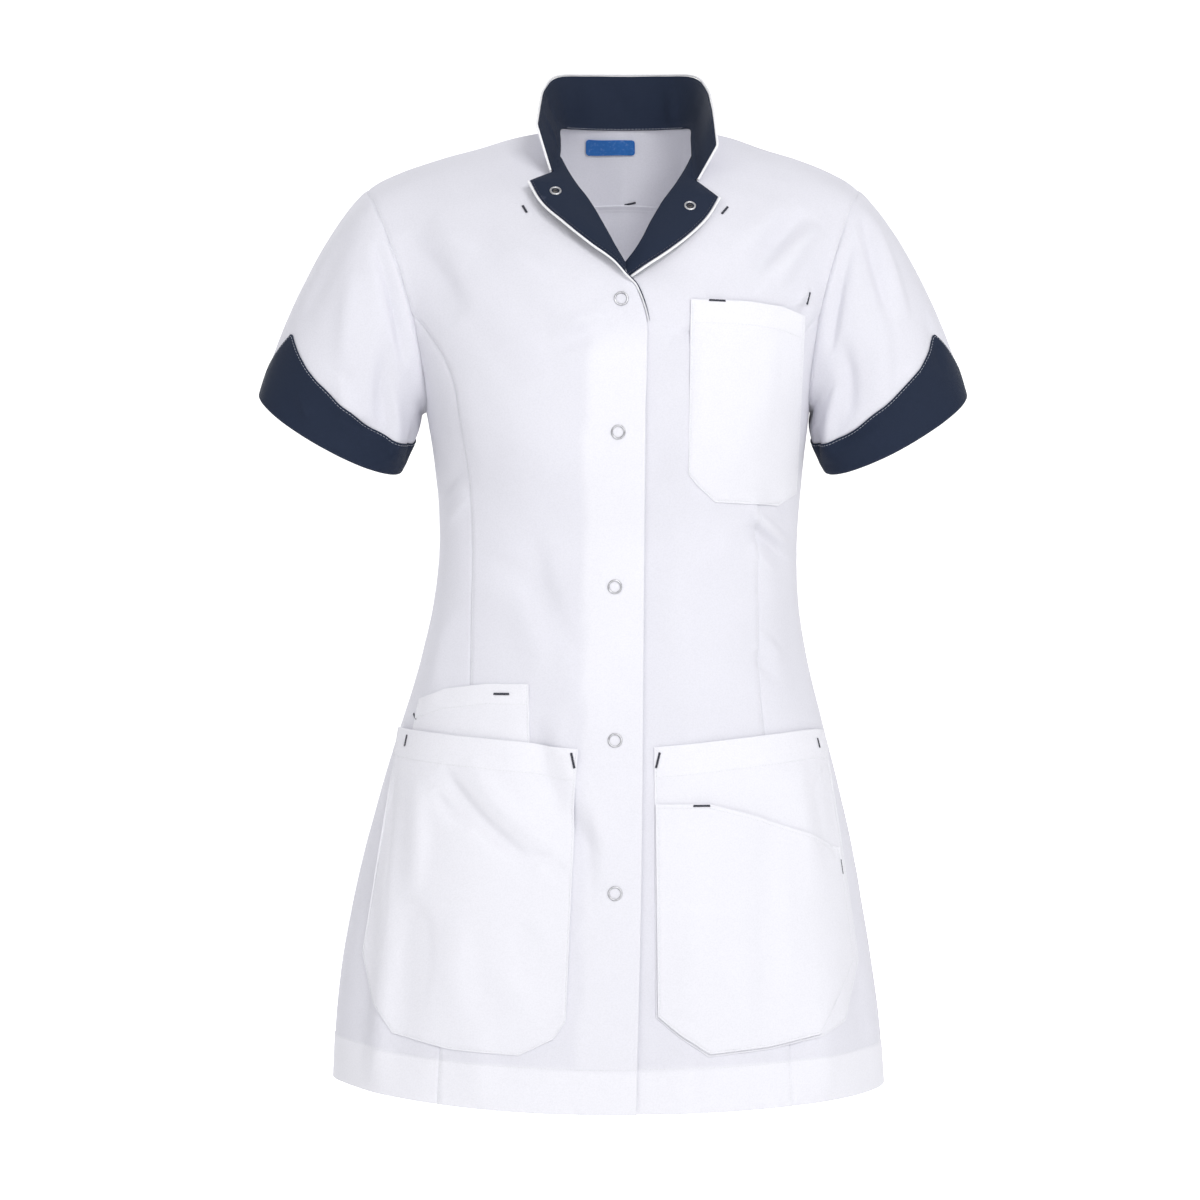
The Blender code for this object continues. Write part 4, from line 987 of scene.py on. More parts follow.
def puff(points, columns, depth, stand):
    """How far a pocket stands off the front: most in the middle of its mouth, none at its sewn edges."""
    columns = np.array(columns, float)
    top, bottom = columns[:, 1].max(), columns[:, 3].min()
    left, right = columns[:, (0, 2)].min(), columns[:, (0, 2)].max()
    across = np.clip((points[..., 0] - left) / (right - left), 0, 1)
    up = np.clip((points[..., 2] - bottom) / (top - bottom), 0, 1)
    return depth * np.sin(math.pi * across) ** 1.5 * up * (1.4 - 0.4 * up) + stand * up


def sleeve_rings(side, front, back, count, fractions):
    """The sleeve's rings from the armhole to the hem, each starting at the top of the arm."""
    half = count // 2
    front_fractions = np.linspace(1, 0, half + 1)
    loop = np.concatenate([
        front.outer.at(front_fractions),
        back.outer.at(front_fractions[::-1])[1:-1],
    ])
    turn = np.arange(count) * 2 * math.pi / count
    outer, inner = np.array(SLEEVE_OUTER), np.array(SLEEVE_INNER)
    middle, reach = (outer + inner) / 2, (outer - inner) / 2
    length = np.linalg.norm(reach)
    arm = np.array((side * reach[1], 0.0, -reach[0])) / length
    hem = np.stack([
        side * (middle[0] + reach[0] * np.cos(turn)),
        SLEEVE_CENTRE_Y - SLEEVE_HALF_DEPTH * np.sin(turn),
        middle[1] + reach[1] * np.cos(turn),
    ], axis=1)
    hem += arm * (SLEEVE_FRONT_DIP * np.sin(turn))[:, None]
    setting = through(np.linspace(0, 1, 5), SLEEVE_STARTS, np.arange(count) / count)
    heading = setting[:, :3] * (side, 1.0, 1.0)
    heading = unit(heading)
    under = np.clip(-np.cos(turn), 0, 1)[:, None] ** 2
    start = loop + heading * (SLEEVE_START + SLEEVE_UNDER_GAP * under)
    first = start + heading * setting[:, 3:]
    arrival = through(np.linspace(0, 1, 5), SLEEVE_ENDS, np.arange(count) / count)
    second = hem - arrival[:, :3] * (side, 1.0, 1.0) * arrival[:, 3:]
    rings = []
    for t in fractions:
        left = 1 - t
        rings.append(left**3 * start + 3 * left**2 * t * first + 3 * left * t**2 * second + t**3 * hem)
    return np.array(rings)


def cuff_rings(rings, normals, heights):
    """Rings of the cuff and their normals: each column climbs the sleeve from the hem by its own height."""
    places, headings = [], []
    for column, height in enumerate(heights):
        line, outward = rings[::-1, column], normals[::-1, column]
        along = distances(line)
        wanted = np.linspace(0, height, CUFF_ROWS + 1)
        places.append(read_along(along, line, wanted))
        headings.append(read_along(along, outward, wanted))
    return np.array(places).transpose(1, 0, 2), np.array(headings).transpose(1, 0, 2)


def collar_grid():
    """The collar's middle surface from its right front end round to its left one, and its seam."""
    right = placed_pairs(RIGHT, (*COLLAR, COLLAR_END[RIGHT]))
    left = placed_pairs(LEFT, (*COLLAR, COLLAR_END[LEFT]))
    stations = np.concatenate([right[::-1], left[1:]])
    seam, rim = Line(stations[:, :3]), Line(stations[:, 3:])
    along = np.linspace(0, 1, COLLAR_COLUMNS + 1)
    rows = [seam.at(along) * (1 - up) + rim.at(along) * up for up in np.linspace(0, 1, COLLAR_ROWS + 1)]
    return np.array(rows), seam


def placed_pairs(side, rows):
    points = np.array(rows, float)
    points[:, (0, 3)] = side * points[:, (0, 3)] + NECK_CENTRE
    return points


def lapel_grid(side, seam, rows, columns):
    """The turned-back lapel, from the roll line (first column) to its outer edge.

    The outer edge runs along the collar's seam to the notch, along the free top edge to the lapel's point,
    and down to the foot. rows gives the number of facets along each of the three.
    """
    notch, point = LAPEL_CORNERS[side]
    roll = placed(side, (*ROLL_LINE[::-1], LAPEL_FOOT[side]), NECK_CENTRE)
    roll = Line(roll - (0.0, LAPEL_LIFT, 0.0))
    edge = Line(placed(side, LAPEL_EDGE[side], NECK_CENTRE))
    on_seam = LAPEL_SEAM_START * np.linspace(1, 0, rows[0] + 1)
    on_seam = seam.at(on_seam if side == RIGHT else 1 - on_seam)
    along_top = np.linspace(0, 1, rows[1] + 1)[:, None]
    on_top = on_seam[-1] * (1 - along_top) + edge.at(0.0) * along_top
    on_edge = edge.at(np.linspace(0, LAPEL_END[side], rows[2] + 1))
    outer = np.concatenate([on_seam[:-1], on_top[:-1], on_edge])
    shares = np.concatenate([
        np.linspace(0, notch, rows[0] + 1)[:-1],
        np.linspace(notch, point, rows[1] + 1)[:-1],
        np.linspace(point, LAPEL_END[side], rows[2] + 1),
    ])
    inner = roll.at(shares)
    clear = np.concatenate([np.ones(rows[0]), 1 - along_top[:, 0], np.zeros(rows[2])])[:, None]
    outer = outer + unit(inner - outer) * LAPEL_SEAM_GAP * clear
    width = np.linalg.norm(outer - inner, axis=1)[:, None, None]
    share = np.linspace(0, 1, columns + 1)[:, None]
    belly = (0.0, -LAPEL_BELLY, 0.0) * np.sin(math.pi * share) * np.clip(width / LAPEL_WIDE, 0, 1)
    return inner[:, None] * (1 - share) + outer[:, None] * share + belly


def edge_piping():
    """The piping's way on down the edge of the right front, below the foot of its lapel."""
    edge = Line(RIGHT_EDGE_TOP)
    path = []
    for share in np.linspace(0, 1, EDGE_PIPING_STEPS + 1):
        height = EDGE_PIPING[0] * (1 - share) + EDGE_PIPING[1] * share
        place = edge.at(edge.fraction_at_height(height))
        forward = max(0.0, 1 - 4 * share)
        path.append(place + (PIPING_RADIUS + GAP, -forward * WALL, 0.0))
    return path


# Fine surfaces of cloth


def edge_lines(points, axis, cells):
    """The grid with extra lines in its first and last cells across an axis."""
    points = np.moveaxis(points, axis, 0)
    shares = np.array(EDGE_SHARES)[:, None, None]
    for count in cells:
        for cell in range(count - 1, -1, -1):
            extra = points[cell] * (1 - shares) + points[cell + 1] * shares
            points = np.concatenate([points[:cell + 1], extra, points[cell + 1:]])
        points = points[::-1]
    return np.moveaxis(points, 0, axis)


def with_tuck(points, edge, outward):
    """The grid with one more line that turns in under the neighbour of an edge."""
    axis = 1 if edge in ("left", "right") else 0
    normals = grid_normals(points, outward(points))
    lines, ups = np.moveaxis(points, axis, 0), np.moveaxis(normals, axis, 0)
    last, before = (0, 1) if edge in ("left", "low") else (-1, -2)
    line = lines[last] + unit(lines[last] - lines[before]) * TUCK_REACH - ups[last] * TUCK_DEPTH
    parts = [line[None], lines] if last == 0 else [lines, line[None]]
    return np.moveaxis(np.concatenate(parts), 0, axis)


def run_lengths(points, axis):
    """Distances along the grid's lines from their first points."""
    steps = np.linalg.norm(np.diff(points, axis=axis), axis=-1)
    before = [(0, 0), (0, 0)]
    before[axis] = (1, 0)
    return np.cumsum(np.pad(steps, before), axis=axis)


def from_axis(points):
    return points * (1.0, 1.0, 0.0)


def from_ring(points):
    return points - points.mean(axis=1, keepdims=True)


def from_neck(points):
    return points * (1.0, 1.0, 0.0) - (NECK_CENTRE, 5.0, 0.0)


def forward(points):
    return np.broadcast_to((0.0, -1.0, 0.0), points.shape)


def swollen(points, swells, seed):
    """Uneven heights of soft cloth, the same on both sides of a seam."""
    heights = np.zeros(points.shape[:2])
    for number, (size, depth) in enumerate(swells):
        places = points.reshape(-1, 3) / size + seed + 17.3 * number
        found = np.array([noise.noise(place) for place in places.tolist()])
        heights += depth * found.reshape(points.shape[:2])
    return heights


def sunk(distance, depth=SEAM_SINK):
    return -depth * np.exp(-((np.maximum(distance, 0) / SEAM_REACH) ** 2))


def grooved(distance, at=STITCHED_AT, depth=GROOVE_DEPTH):
    return -depth * np.exp(-(((distance - at) / GROOVE_WIDTH) ** 2))


def stepped(distance, at, width=1.2):
    """1 nearer than a distance and 0 beyond it."""
    share = np.clip((at - distance) / width + 0.5, 0, 1)
    return share * share * (3 - 2 * share)


def puckered(points, distance, seed, depth=PUCKER_DEPTH, at=0.0):
    """Small gathers that a stitched line draws into the cloth beside it."""
    near = np.exp(-np.abs(distance - at) / PUCKER_REACH)
    return near * swollen(points, ((PUCKER_SIZE, depth),), seed)


def creased(across, up, table):
    """Heights of listed soft troughs and ridges."""
    heights = np.zeros(across.shape)
    for *line, bow, one_side, other_side, depth in table:
        along, beside = share_and_side(across, up, *line)
        along = np.clip(along, 0, 1)
        beside = beside - bow * 4 * along * (1 - along)
        width = np.where(beside > 0, other_side, one_side)
        ends = np.sin(math.pi * along) ** 0.8
        heights += depth * ends * np.exp(-((beside / width) ** 2))
    return heights * CREASE_DEPTH


class Cloth:
    """A fine surface of cloth, with the distance of each point from its edges."""

    def __init__(self, points, outward, closed=False, tucks=()):
        for edge in tucks:
            points = with_tuck(points, edge, outward)
        cells = {edge: 2 if edge in tucks else 1 for edge in ("left", "right", "low", "high")}
        points = edge_lines(points, 0, (cells["low"], cells["high"]))
        if not closed:
            points = edge_lines(points, 1, (cells["left"], cells["right"]))
        self.points = points
        self.outward = outward
        self.closed = closed
        across, up = run_lengths(points, 1), run_lengths(points, 0)
        self.left, self.right = across, across[:, -1:] - across
        self.low, self.high = up, up[-1:] - up
        self.rim = np.minimum(self.low, self.high)
        if not closed:
            self.rim = np.minimum(self.rim, np.minimum(self.left, self.right))
        for edge in tucks:
            setattr(self, edge, getattr(self, edge) - math.hypot(TUCK_REACH, TUCK_DEPTH))
        self.layers = np.zeros(points.shape[:2])

    def normals(self):
        return grid_normals(self.points, self.outward(self.points), self.closed)

    def push(self, heights):
        self.points = self.points + self.normals() * np.asarray(heights)[..., None]

    def line(self, edge, at, start=0.0, end=1.0):
        """Points and normals of a line at a distance from an edge."""
        distance = getattr(self, edge)
        grids = [self.points, self.normals()]
        if edge in ("low", "high"):
            distance = distance.T
            grids = [grid.transpose(1, 0, 2) for grid in grids]
        if edge in ("right", "high"):
            distance = distance[:, ::-1]
            grids = [grid[:, ::-1] for grid in grids]
        lines = []
        for grid in grids:
            found = [read_along(along, places, [at])[0] for along, places in zip(distance, grid)]
            lines.append(np.array(found))
        first, last = int(start * len(distance)), int(math.ceil(end * len(distance)))
        return lines[0][first:last], lines[1][first:last]


def linked(name, data):
    """A new object in the scene."""
    made = bpy.data.objects.new(name, data)
    bpy.context.scene.collection.objects.link(made)
    return made


def mesh_object(name, points, faces, look, smooth=60):
    data = bpy.data.meshes.new(name)
    data.from_pydata((np.asarray(points) * MM).tolist(), [], faces)
    data.materials.append(look)
    data.shade_smooth()
    data.set_sharp_from_angle(angle=math.radians(smooth))
    return linked(name, data)


def strips(rows, columns, closed, turned):
    """Corner indices of a grid's cells, counted row by row."""
    along = np.arange(columns if closed else columns - 1)
    row, column = np.meshgrid(np.arange(rows - 1), along, indexing="ij")
    row, column = row.ravel(), column.ravel()
    beside = column + 1
    corners = [(row, column), (row, beside), (row + 1, beside), (row + 1, column)]
    return corners[::-1] if turned else corners


def shell(name, cloth, thickness, look):
    """A thin closed shell of cloth with round edges, with UVs in metres and its extra layers as a value."""
    points, normals = cloth.points, cloth.normals()
    rows, columns = points.shape[:2]
    half = thickness / 2
    near = np.clip(cloth.rim / half, 0, 1)
    swell = np.maximum(RIM_LEAST, np.sqrt(1 - (1 - near) ** 2))[..., None] * half
    faces = [points + normals * swell, points - normals * swell]
    along = np.roll(points, -1, axis=1) - points if cloth.closed else np.gradient(points, axis=1)
    turned = (np.cross(along, np.gradient(points, axis=0)) * normals).sum() < 0

    count = rows * columns
    quads, marks = [], []
    for layer, flip in ((0, turned), (1, not turned)):
        corners = strips(rows, columns, cloth.closed, flip)
        quads.append(np.stack([layer * count + r * columns + c % columns for r, c in corners], axis=1))
        marks.append(np.stack([np.stack(corner, axis=1) for corner in corners], axis=1))
    ring = np.arange(columns if cloth.closed else columns - 1)
    for row, flip in ((0, False), (rows - 1, True)):
        corners = [(1, row, ring), (1, row, ring + 1), (0, row, ring + 1), (0, row, ring)]
        add_rim(quads, marks, corners, columns, count, flip != turned)
    if not cloth.closed:
        ladder = np.arange(rows - 1)
        for column, flip in ((0, False), (columns - 1, True)):
            corners = [
                (1, ladder, column),
                (0, ladder, column),
                (0, ladder + 1, column),
                (1, ladder + 1, column),
            ]
            add_rim(quads, marks, corners, columns, count, flip != turned)
    quads, marks = np.concatenate(quads), np.concatenate(marks)
    made = mesh_object(name, np.concatenate([face.reshape(-1, 3) for face in faces]), quads.tolist(), look)

    wrapped = points if not cloth.closed else np.concatenate([points, points[:, :1]], axis=1)
    across, up = run_lengths(wrapped, 1), run_lengths(wrapped, 0)
    places = np.stack([across, up], axis=-1) * MM
    layer = made.data.uv_layers.new(name="cloth")
    layer.data.foreach_set("uv", places[marks[..., 0], marks[..., 1]].astype(np.float32).ravel())
    layers = made.data.attributes.new("layers", "FLOAT", "POINT")
    layers.data.foreach_set("value", np.tile(cloth.layers.ravel(), 2).astype(np.float32))
    inside = made.data.attributes.new("inside", "FLOAT", "POINT")
    inside.data.foreach_set("value", np.repeat((0.0, 1.0), count).astype(np.float32))
    return made


def add_rim(quads, marks, corners, columns, count, flip):
    """Cells between the two faces of a shell along one of its edges."""
    length = max(np.size(part) for corner in corners for part in corner)
    corners = [tuple(np.broadcast_to(part, (length,)) for part in corner) for corner in corners]
    if flip:
        corners = corners[::-1]
    quads.append(np.stack([layer * count + r * columns + c % columns for layer, r, c in corners], axis=1))
    marks.append(np.stack([np.stack([r, c], axis=1) for _, r, c in corners], axis=1))


# Thread, cord and metal


def grains(name, centres, headings, normals, length, radius, look):
    """Many short rounded stitches in one mesh."""
    sides = np.cross(headings, normals)
    turns = np.arange(GRAIN_SIDES) * 2 * math.pi / GRAIN_SIDES
    parts = [centres - headings * length / 2]
    for reach in (-GRAIN_FULL, GRAIN_FULL):
        for turn in turns:
            around = sides * math.cos(turn) + normals * math.sin(turn)
            parts.append(centres + headings * length * reach + around * radius)
    parts.append(centres + headings * length / 2)
    points = np.stack(parts, axis=1)
    pattern = []
    near, far, tip = 1, 1 + GRAIN_SIDES, 1 + 2 * GRAIN_SIDES
    for number in range(GRAIN_SIDES):
        beside = (number + 1) % GRAIN_SIDES
        pattern.append((0, near + beside, near + number))
        pattern.append((near + number, near + beside, far + beside, far + number))
        pattern.append((far + number, far + beside, tip))
    starts = [(tip + 1) * number for number in range(len(centres))]
    faces = [[start + corner for corner in face] for start in starts for face in pattern]
    return mesh_object(name, points.reshape(-1, 3), faces, look, 80)


def stitching(name, lines, look, lift=CLOTH / 2):
    """Stitches along lines of points and normals, lying on the cloth's outer face."""
    centres, headings, ups = [], [], []
    for points, normals in lines:
        along = distances(points)
        places = np.arange(STITCH_PITCH / 2, along[-1] - STITCH_PITCH / 2, STITCH_PITCH)
        if len(places) == 0:
            continue
        ahead = read_along(along, points, places + HEADING_STEP)
        heading = unit(ahead - read_along(along, points, places - HEADING_STEP) + LEAST)
        up = unit(read_along(along, normals, places))
        centres.append(read_along(along, points, places) + up * lift)
        headings.append(heading)
        ups.append(up)
    parts = [np.concatenate(part) for part in (centres, headings, ups)]
    return grains(name, *parts, STITCH_LENGTH, STITCH_RADIUS, look)


def bartacks(name, bars, look):
    """Dense bars of thread. Each bar is its two ends and its normal."""
    centres, headings, ups = [], [], []
    for start, end, normal in bars:
        reach = end - start
        count = int(np.linalg.norm(reach) / BARTACK_PITCH) + 1
        heading = unit(reach)
        side = np.cross(heading, normal)
        for number in range(count):
            share = number / max(count - 1, 1)
            slant = CROSS_SLANT if number % 2 else -CROSS_SLANT
            centres.append(start + reach * share + normal * CROSS_LIFT)
            headings.append(unit(side + heading * slant))
            ups.append(normal)
        for offset in (-LONG_APART / 2, LONG_APART / 2):
            for share in np.linspace(0.08, 0.92, LONG_THREADS):
                centres.append(start + reach * share + normal * LONG_LIFT + side * offset)
                headings.append(heading)
                ups.append(normal)
    parts = [np.array(part) for part in (centres, headings, ups)]
    return grains(name, *parts, BARTACK_WIDTH, BARTACK_RADIUS, look)


def softened(path, passes):
    """The path at even steps, with its corners rounded."""
    path = np.asarray(path)
    path = resampled(path, int(distances(path)[-1] / BINDING_STEP) + 2)
    for _ in range(passes):
        path[1:-1] = path[1:-1] * 0.5 + (path[:-2] + path[2:]) * 0.25
    return path


def tube_faces(rows, sides, turned):
    corners = strips(rows, sides, True, turned)
    return np.stack([r * sides + c % sides for r, c in corners], axis=1).tolist()


def cord(name, path, radius, look, sides=12):
    """A round cord along a path, closed at its ends."""
    path = np.asarray(path)
    along = unit(np.gradient(path, axis=0))
    side = unit(np.cross(along, (0.3, 1.0, 0.2)))
    other = np.cross(along, side)
    turns = np.arange(sides) * 2 * math.pi / sides
    rings = [side * math.cos(turn) + other * math.sin(turn) for turn in turns]
    thick = np.broadcast_to(radius, (len(path),))[:, None, None]
    points = (path[:, None] + np.stack(rings, axis=1) * thick).reshape(-1, 3)
    quads = tube_faces(len(path), sides, False)
    last = (len(path) - 1) * sides
    quads += [list(range(sides)), [last + number for number in range(sides)][::-1]]
    made = mesh_object(name, points, quads, look)
    made.data.flip_normals()
    return made


def turned_ring(name, profile, place, normal, look):
    """A metal ring turned from a profile of distances and heights, standing on the cloth."""
    normal = Vector(normal).normalized()
    across = normal.orthogonal().normalized()
    other = normal.cross(across)
    turns = np.arange(RING_TURNS) * 2 * math.pi / RING_TURNS
    points = []
    for radius, height in profile:
        for turn in turns:
            around = across * radius * math.cos(turn) + other * radius * math.sin(turn)
            points.append(Vector(place) + around + normal * height)
    faces = tube_faces(len(profile), RING_TURNS, True)
    last = (len(profile) - 1) * RING_TURNS
    for number in range(RING_TURNS):
        beside = (number + 1) % RING_TURNS
        faces.append([number, beside, last + beside, last + number])
    return mesh_object(name, points, faces, look, 50)


# Looks


class Look:
    """A material whose nodes are added one by one."""

    def __init__(self, name):
        self.material = bpy.data.materials.new(name)
        self.material.use_nodes = True
        self.tree = self.material.node_tree
        self.place = self.add("ShaderNodeTexCoord")

    def give(self, node, inputs):
        """Links or sets inputs of a node."""
        for key, value in dict(inputs).items():
            if isinstance(value, bpy.types.NodeSocket):
                self.tree.links.new(value, node.inputs[key])
            else:
                node.inputs[key].default_value = value

    def add(self, kind, inputs=(), **settings):
        node = self.tree.nodes.new(kind)
        for key, value in settings.items():
            setattr(node, key, value)
        self.give(node, inputs)
        return node

    def finished(self, inputs):
        """The material, with these inputs of its shader."""
        self.give(self.tree.nodes["Principled BSDF"], inputs)
        return self.material

    def ramp(self, socket, stops):
        node = self.add("ShaderNodeValToRGB", {"Fac": socket})
        elements = node.color_ramp.elements
        elements[0].position, elements[0].color = stops[0][0], (*stops[0][1], 1.0)
        elements[1].position, elements[1].color = stops[-1][0], (*stops[-1][1], 1.0)
        for place, colour in stops[1:-1]:
            elements.new(place).color = (*colour, 1.0)
        return node.outputs["Color"]

    def bump(self, height, strength, distance, before=None):
        inputs = {"Height": height, "Strength": strength, "Distance": distance}
        if before is not None:
            inputs["Normal"] = before
        return self.add("ShaderNodeBump", inputs).outputs["Normal"]

    def noise(self, scale, detail=2.0, roughness=0.5):
        place = self.place.outputs["Object"]
        inputs = {"Vector": place, "Scale": scale, "Detail": detail, "Roughness": roughness}
        return self.add("ShaderNodeTexNoise", inputs).outputs["Fac"]

    def wave(self, place, thread, direction, distortion=0.0, detail=2.0):
        """Bands with one wave to a thread of this many millimetres."""
        scale = WAVE_UNIT / (thread * MM)
        inputs = {"Vector": place, "Scale": scale, "Distortion": distortion, "Detail": detail}
        return self.add("ShaderNodeTexWave", inputs, bands_direction=direction).outputs["Fac"]

    def spread(self, socket, low, high):
        """The values 0 to 1 of a socket, carried to the range from low to high."""
        inputs = {"Value": socket, "To Min": low, "To Max": high}
        return self.add("ShaderNodeMapRange", inputs).outputs["Result"]

    def mix(self, share, colour, other, blend="MIX"):
        inputs = {"Factor": share, 6: colour, 7: other}
        return self.add("ShaderNodeMix", inputs, data_type="RGBA", blend_type=blend).outputs[2]

    def maths(self, operation, first, second):
        return self.add("ShaderNodeMath", {0: first, 1: second}, operation=operation).outputs[0]


def mixed(colour, other, share):
    return tuple(a * (1 - share) + b * share for a, b in zip(colour, other))


def cloth_look(name, colour, layered, worn, thread, weave, roughness, sheen, seed, inner_glow=0.0):
    """Twill cloth: colours of one layer, of several and of worn edges, thread width, strength of the weave.

    inner_glow stands for the light that comes through to the inner face.
    """
    look = Look(name)
    flat = look.place.outputs["UV"]
    turned = look.add("ShaderNodeMapping", {"Vector": flat, "Rotation": (0, 0, TWILL_SLANT)})
    twill = look.wave(turned.outputs["Vector"], thread * TWILL_WIDTH, "X", 0.6, 1.0)
    warp, weft = (look.wave(flat, thread, direction, 0.4, 1.0) for direction in "XY")
    height = look.maths("ADD", look.maths("MULTIPLY", warp, weft), twill)
    slub = look.noise(900.0, 3.0, 0.6)
    cloud = look.noise(11.0 + seed, 4.0, 0.55)
    rumple = look.noise(95.0 + seed, 3.0)
    single = look.ramp(cloud, ((0.3, mixed(colour, BLACK, 0.035)), (0.7, colour)))
    several = look.ramp(cloud, ((0.3, mixed(layered, BLACK, 0.02)), (0.7, layered)))
    base = look.mix(look.add("ShaderNodeAttribute", attribute_name="layers").outputs["Fac"], single, several)
    shaded = look.mix(1.0, base, look.ramp(slub, ((0.35, (0.955,) * 3), (0.6, WHITE))), "MULTIPLY")
    bend = look.add("ShaderNodeNewGeometry").outputs["Pointiness"]
    edge = look.ramp(bend, ((0.52, BLACK), (0.60, (0.5,) * 3)))
    inputs = {
        "Base Color": look.mix(edge, shaded, (*worn, 1.0)),
        "Roughness": look.spread(cloud, roughness - 0.06, roughness + 0.06),
        "Normal": look.bump(height, weave, WEAVE_DEPTH, look.bump(rumple, 0.35, RUMPLE_DEPTH)),
        "Sheen Weight": sheen,
        "Sheen Roughness": 0.45,
        "Specular IOR Level": 0.17,
    }
    if inner_glow:
        inside = look.add("ShaderNodeAttribute", attribute_name="inside").outputs["Fac"]
        inputs["Emission Strength"] = look.spread(inside, 0.0, inner_glow)
        inputs["Emission Color"] = (0.93, 0.93, 1.0, 1.0)
    return look.finished(inputs)


def thread_look(name, colour):
    """Sewing thread: plies that cross it, with a little sheen."""
    look = Look(name)
    plies = look.noise(1800.0)
    return look.finished({
        "Base Color": look.ramp(plies, ((0.3, mixed(colour, BLACK, 0.25)), (0.65, colour))),
        "Roughness": look.spread(plies, 0.5, 0.7),
        "Normal": look.bump(plies, 0.5, 0.0001),
        "Sheen Weight": 0.3,
    })


def metal_look(name, bright, dark):
    """Polished steel with fine scratches and a little tarnish here and there."""
    look = Look(name)
    scratch = look.noise(1400.0, 4.0, 0.7)
    return look.finished({
        "Base Color": look.ramp(look.noise(260.0, 3.0), ((0.35, dark), (0.6, bright))),
        "Roughness": look.spread(scratch, 0.34, 0.52),
        "Normal": look.bump(scratch, 0.2, 0.00005),
        "Metallic": 1.0,
    })


def patch_look(name, colour):
    """A plain coated patch: smooth colour over the weave, a little worn."""
    look = Look(name)
    wear = look.noise(420.0, 5.0, 0.7)
    stops = ((0.30, mixed(colour, WHITE, 0.12)), (0.45, colour), (0.75, mixed(colour, BLACK, 0.15)))
    return look.finished({
        "Base Color": look.ramp(wear, stops),
        "Normal": look.bump(look.wave(look.place.outputs["UV"], 0.5, "DIAGONAL"), 0.3, 0.00008),
        "Roughness": look.ramp(wear, ((0.3, (0.6,) * 3), (0.7, (0.42,) * 3))),
    })


WHITE_CLOTH = cloth_look(
    "white twill",
    colour=(0.730, 0.728, 0.785),
    layered=(0.80, 0.798, 0.845),
    worn=(0.80, 0.80, 0.84),
    thread=0.42,
    weave=0.35,
    roughness=0.82,
    sheen=0.05,
    seed=0.0,
    inner_glow=0.06,
)
NAVY_CLOTH = cloth_look(
    "navy twill",
    colour=(0.013, 0.021, 0.044),
    layered=(0.014, 0.022, 0.046),
    worn=(0.05, 0.06, 0.10),
    thread=0.42,
    weave=0.55,
    roughness=0.70,
    sheen=0.02,
    seed=3.0,
)
PIPING_CLOTH = cloth_look(
    "white binding",
    colour=(0.86, 0.86, 0.88),
    layered=(0.86, 0.86, 0.88),
    worn=(0.9, 0.9, 0.9),
    thread=0.3,
    weave=0.3,
    roughness=0.6,
    sheen=0.1,
    seed=6.0,
)
WHITE_THREAD = thread_look("white thread", (0.80, 0.81, 0.84))
NAVY_THREAD = thread_look("navy thread", (0.024, 0.026, 0.045))
GREY_THREAD = thread_look("light grey thread", (0.42, 0.44, 0.50))
STEEL = metal_look("polished steel", (0.62, 0.62, 0.64), (0.40, 0.40, 0.42))
DARK_STEEL = metal_look("dark steel", (0.16, 0.15, 0.14), (0.05, 0.05, 0.06))
LABEL_PATCH = patch_look("blue patch", (0.015, 0.14, 0.46))


# Panels


def placed_piece(made, slot, *nodes):
    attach(made, "root")
    if nodes:
        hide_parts(*nodes)
    return made


def place_cloth(node, cloth, thickness=CLOTH, look=WHITE_CLOTH, slot=WHITE_SLOT):
    """The shell of a panel, which stands for the solid of that name."""
    placed_piece(shell(f"cloth_{node}", cloth, thickness, look), slot, node)


def panel_heights(cloth, creases, way, seed):
    """Creases and swells of a panel of the body, and its hem."""
    x, z = cloth.points[..., 0], cloth.points[..., 2]
    heights = creased(x, z, creases) * facing(cloth.points, way) + swollen(cloth.points, SWELLS, PANEL_SEED)
    heights += HEM_THICKER * stepped(cloth.low, HEM_DEPTH) + grooved(cloth.low, HEM_DEPTH)
    heights += puckered(cloth.points, cloth.low, seed, at=HEM_DEPTH)
    cloth.layers += stepped(cloth.low, HEM_DEPTH)
    return heights


def sewn(cloth, edge, seed, stitched=True):
    """Heights of an edge that is sewn to its neighbour."""
    distance = getattr(cloth, edge)
    heights = sunk(distance) + puckered(cloth.points, distance, seed)
    return heights + grooved(distance) if stitched else heights


def placket_heights(cloth):
    """Heights of the double cloth along the front edge, which also gets brighter."""
    below = stepped(cloth.points[..., 2], PLACKET_TOP, PLACKET_TOP_BLUR)
    wavering = swollen(cloth.points, PLACKET_WAVERS, WAVER_SEED)
    band = stepped(cloth.left + wavering, PLACKET_WIDTH, PLACKET_BLUR) * below
    heights = PLACKET_THICKER * band + grooved(cloth.left, PLACKET_WIDTH, PLACKET_GROOVE) * below
    heights += puckered(cloth.points, cloth.left, PLACKET_SEED, PLACKET_PUCKER, PLACKET_WIDTH) * below
    lower = stepped(cloth.points[..., 2], PLACKET_FADE, PLACKET_FADE_BLUR)
    cloth.layers = np.maximum(cloth.layers, band * (PLACKET_BRIGHT - PLACKET_DROP * lower))
    return heights


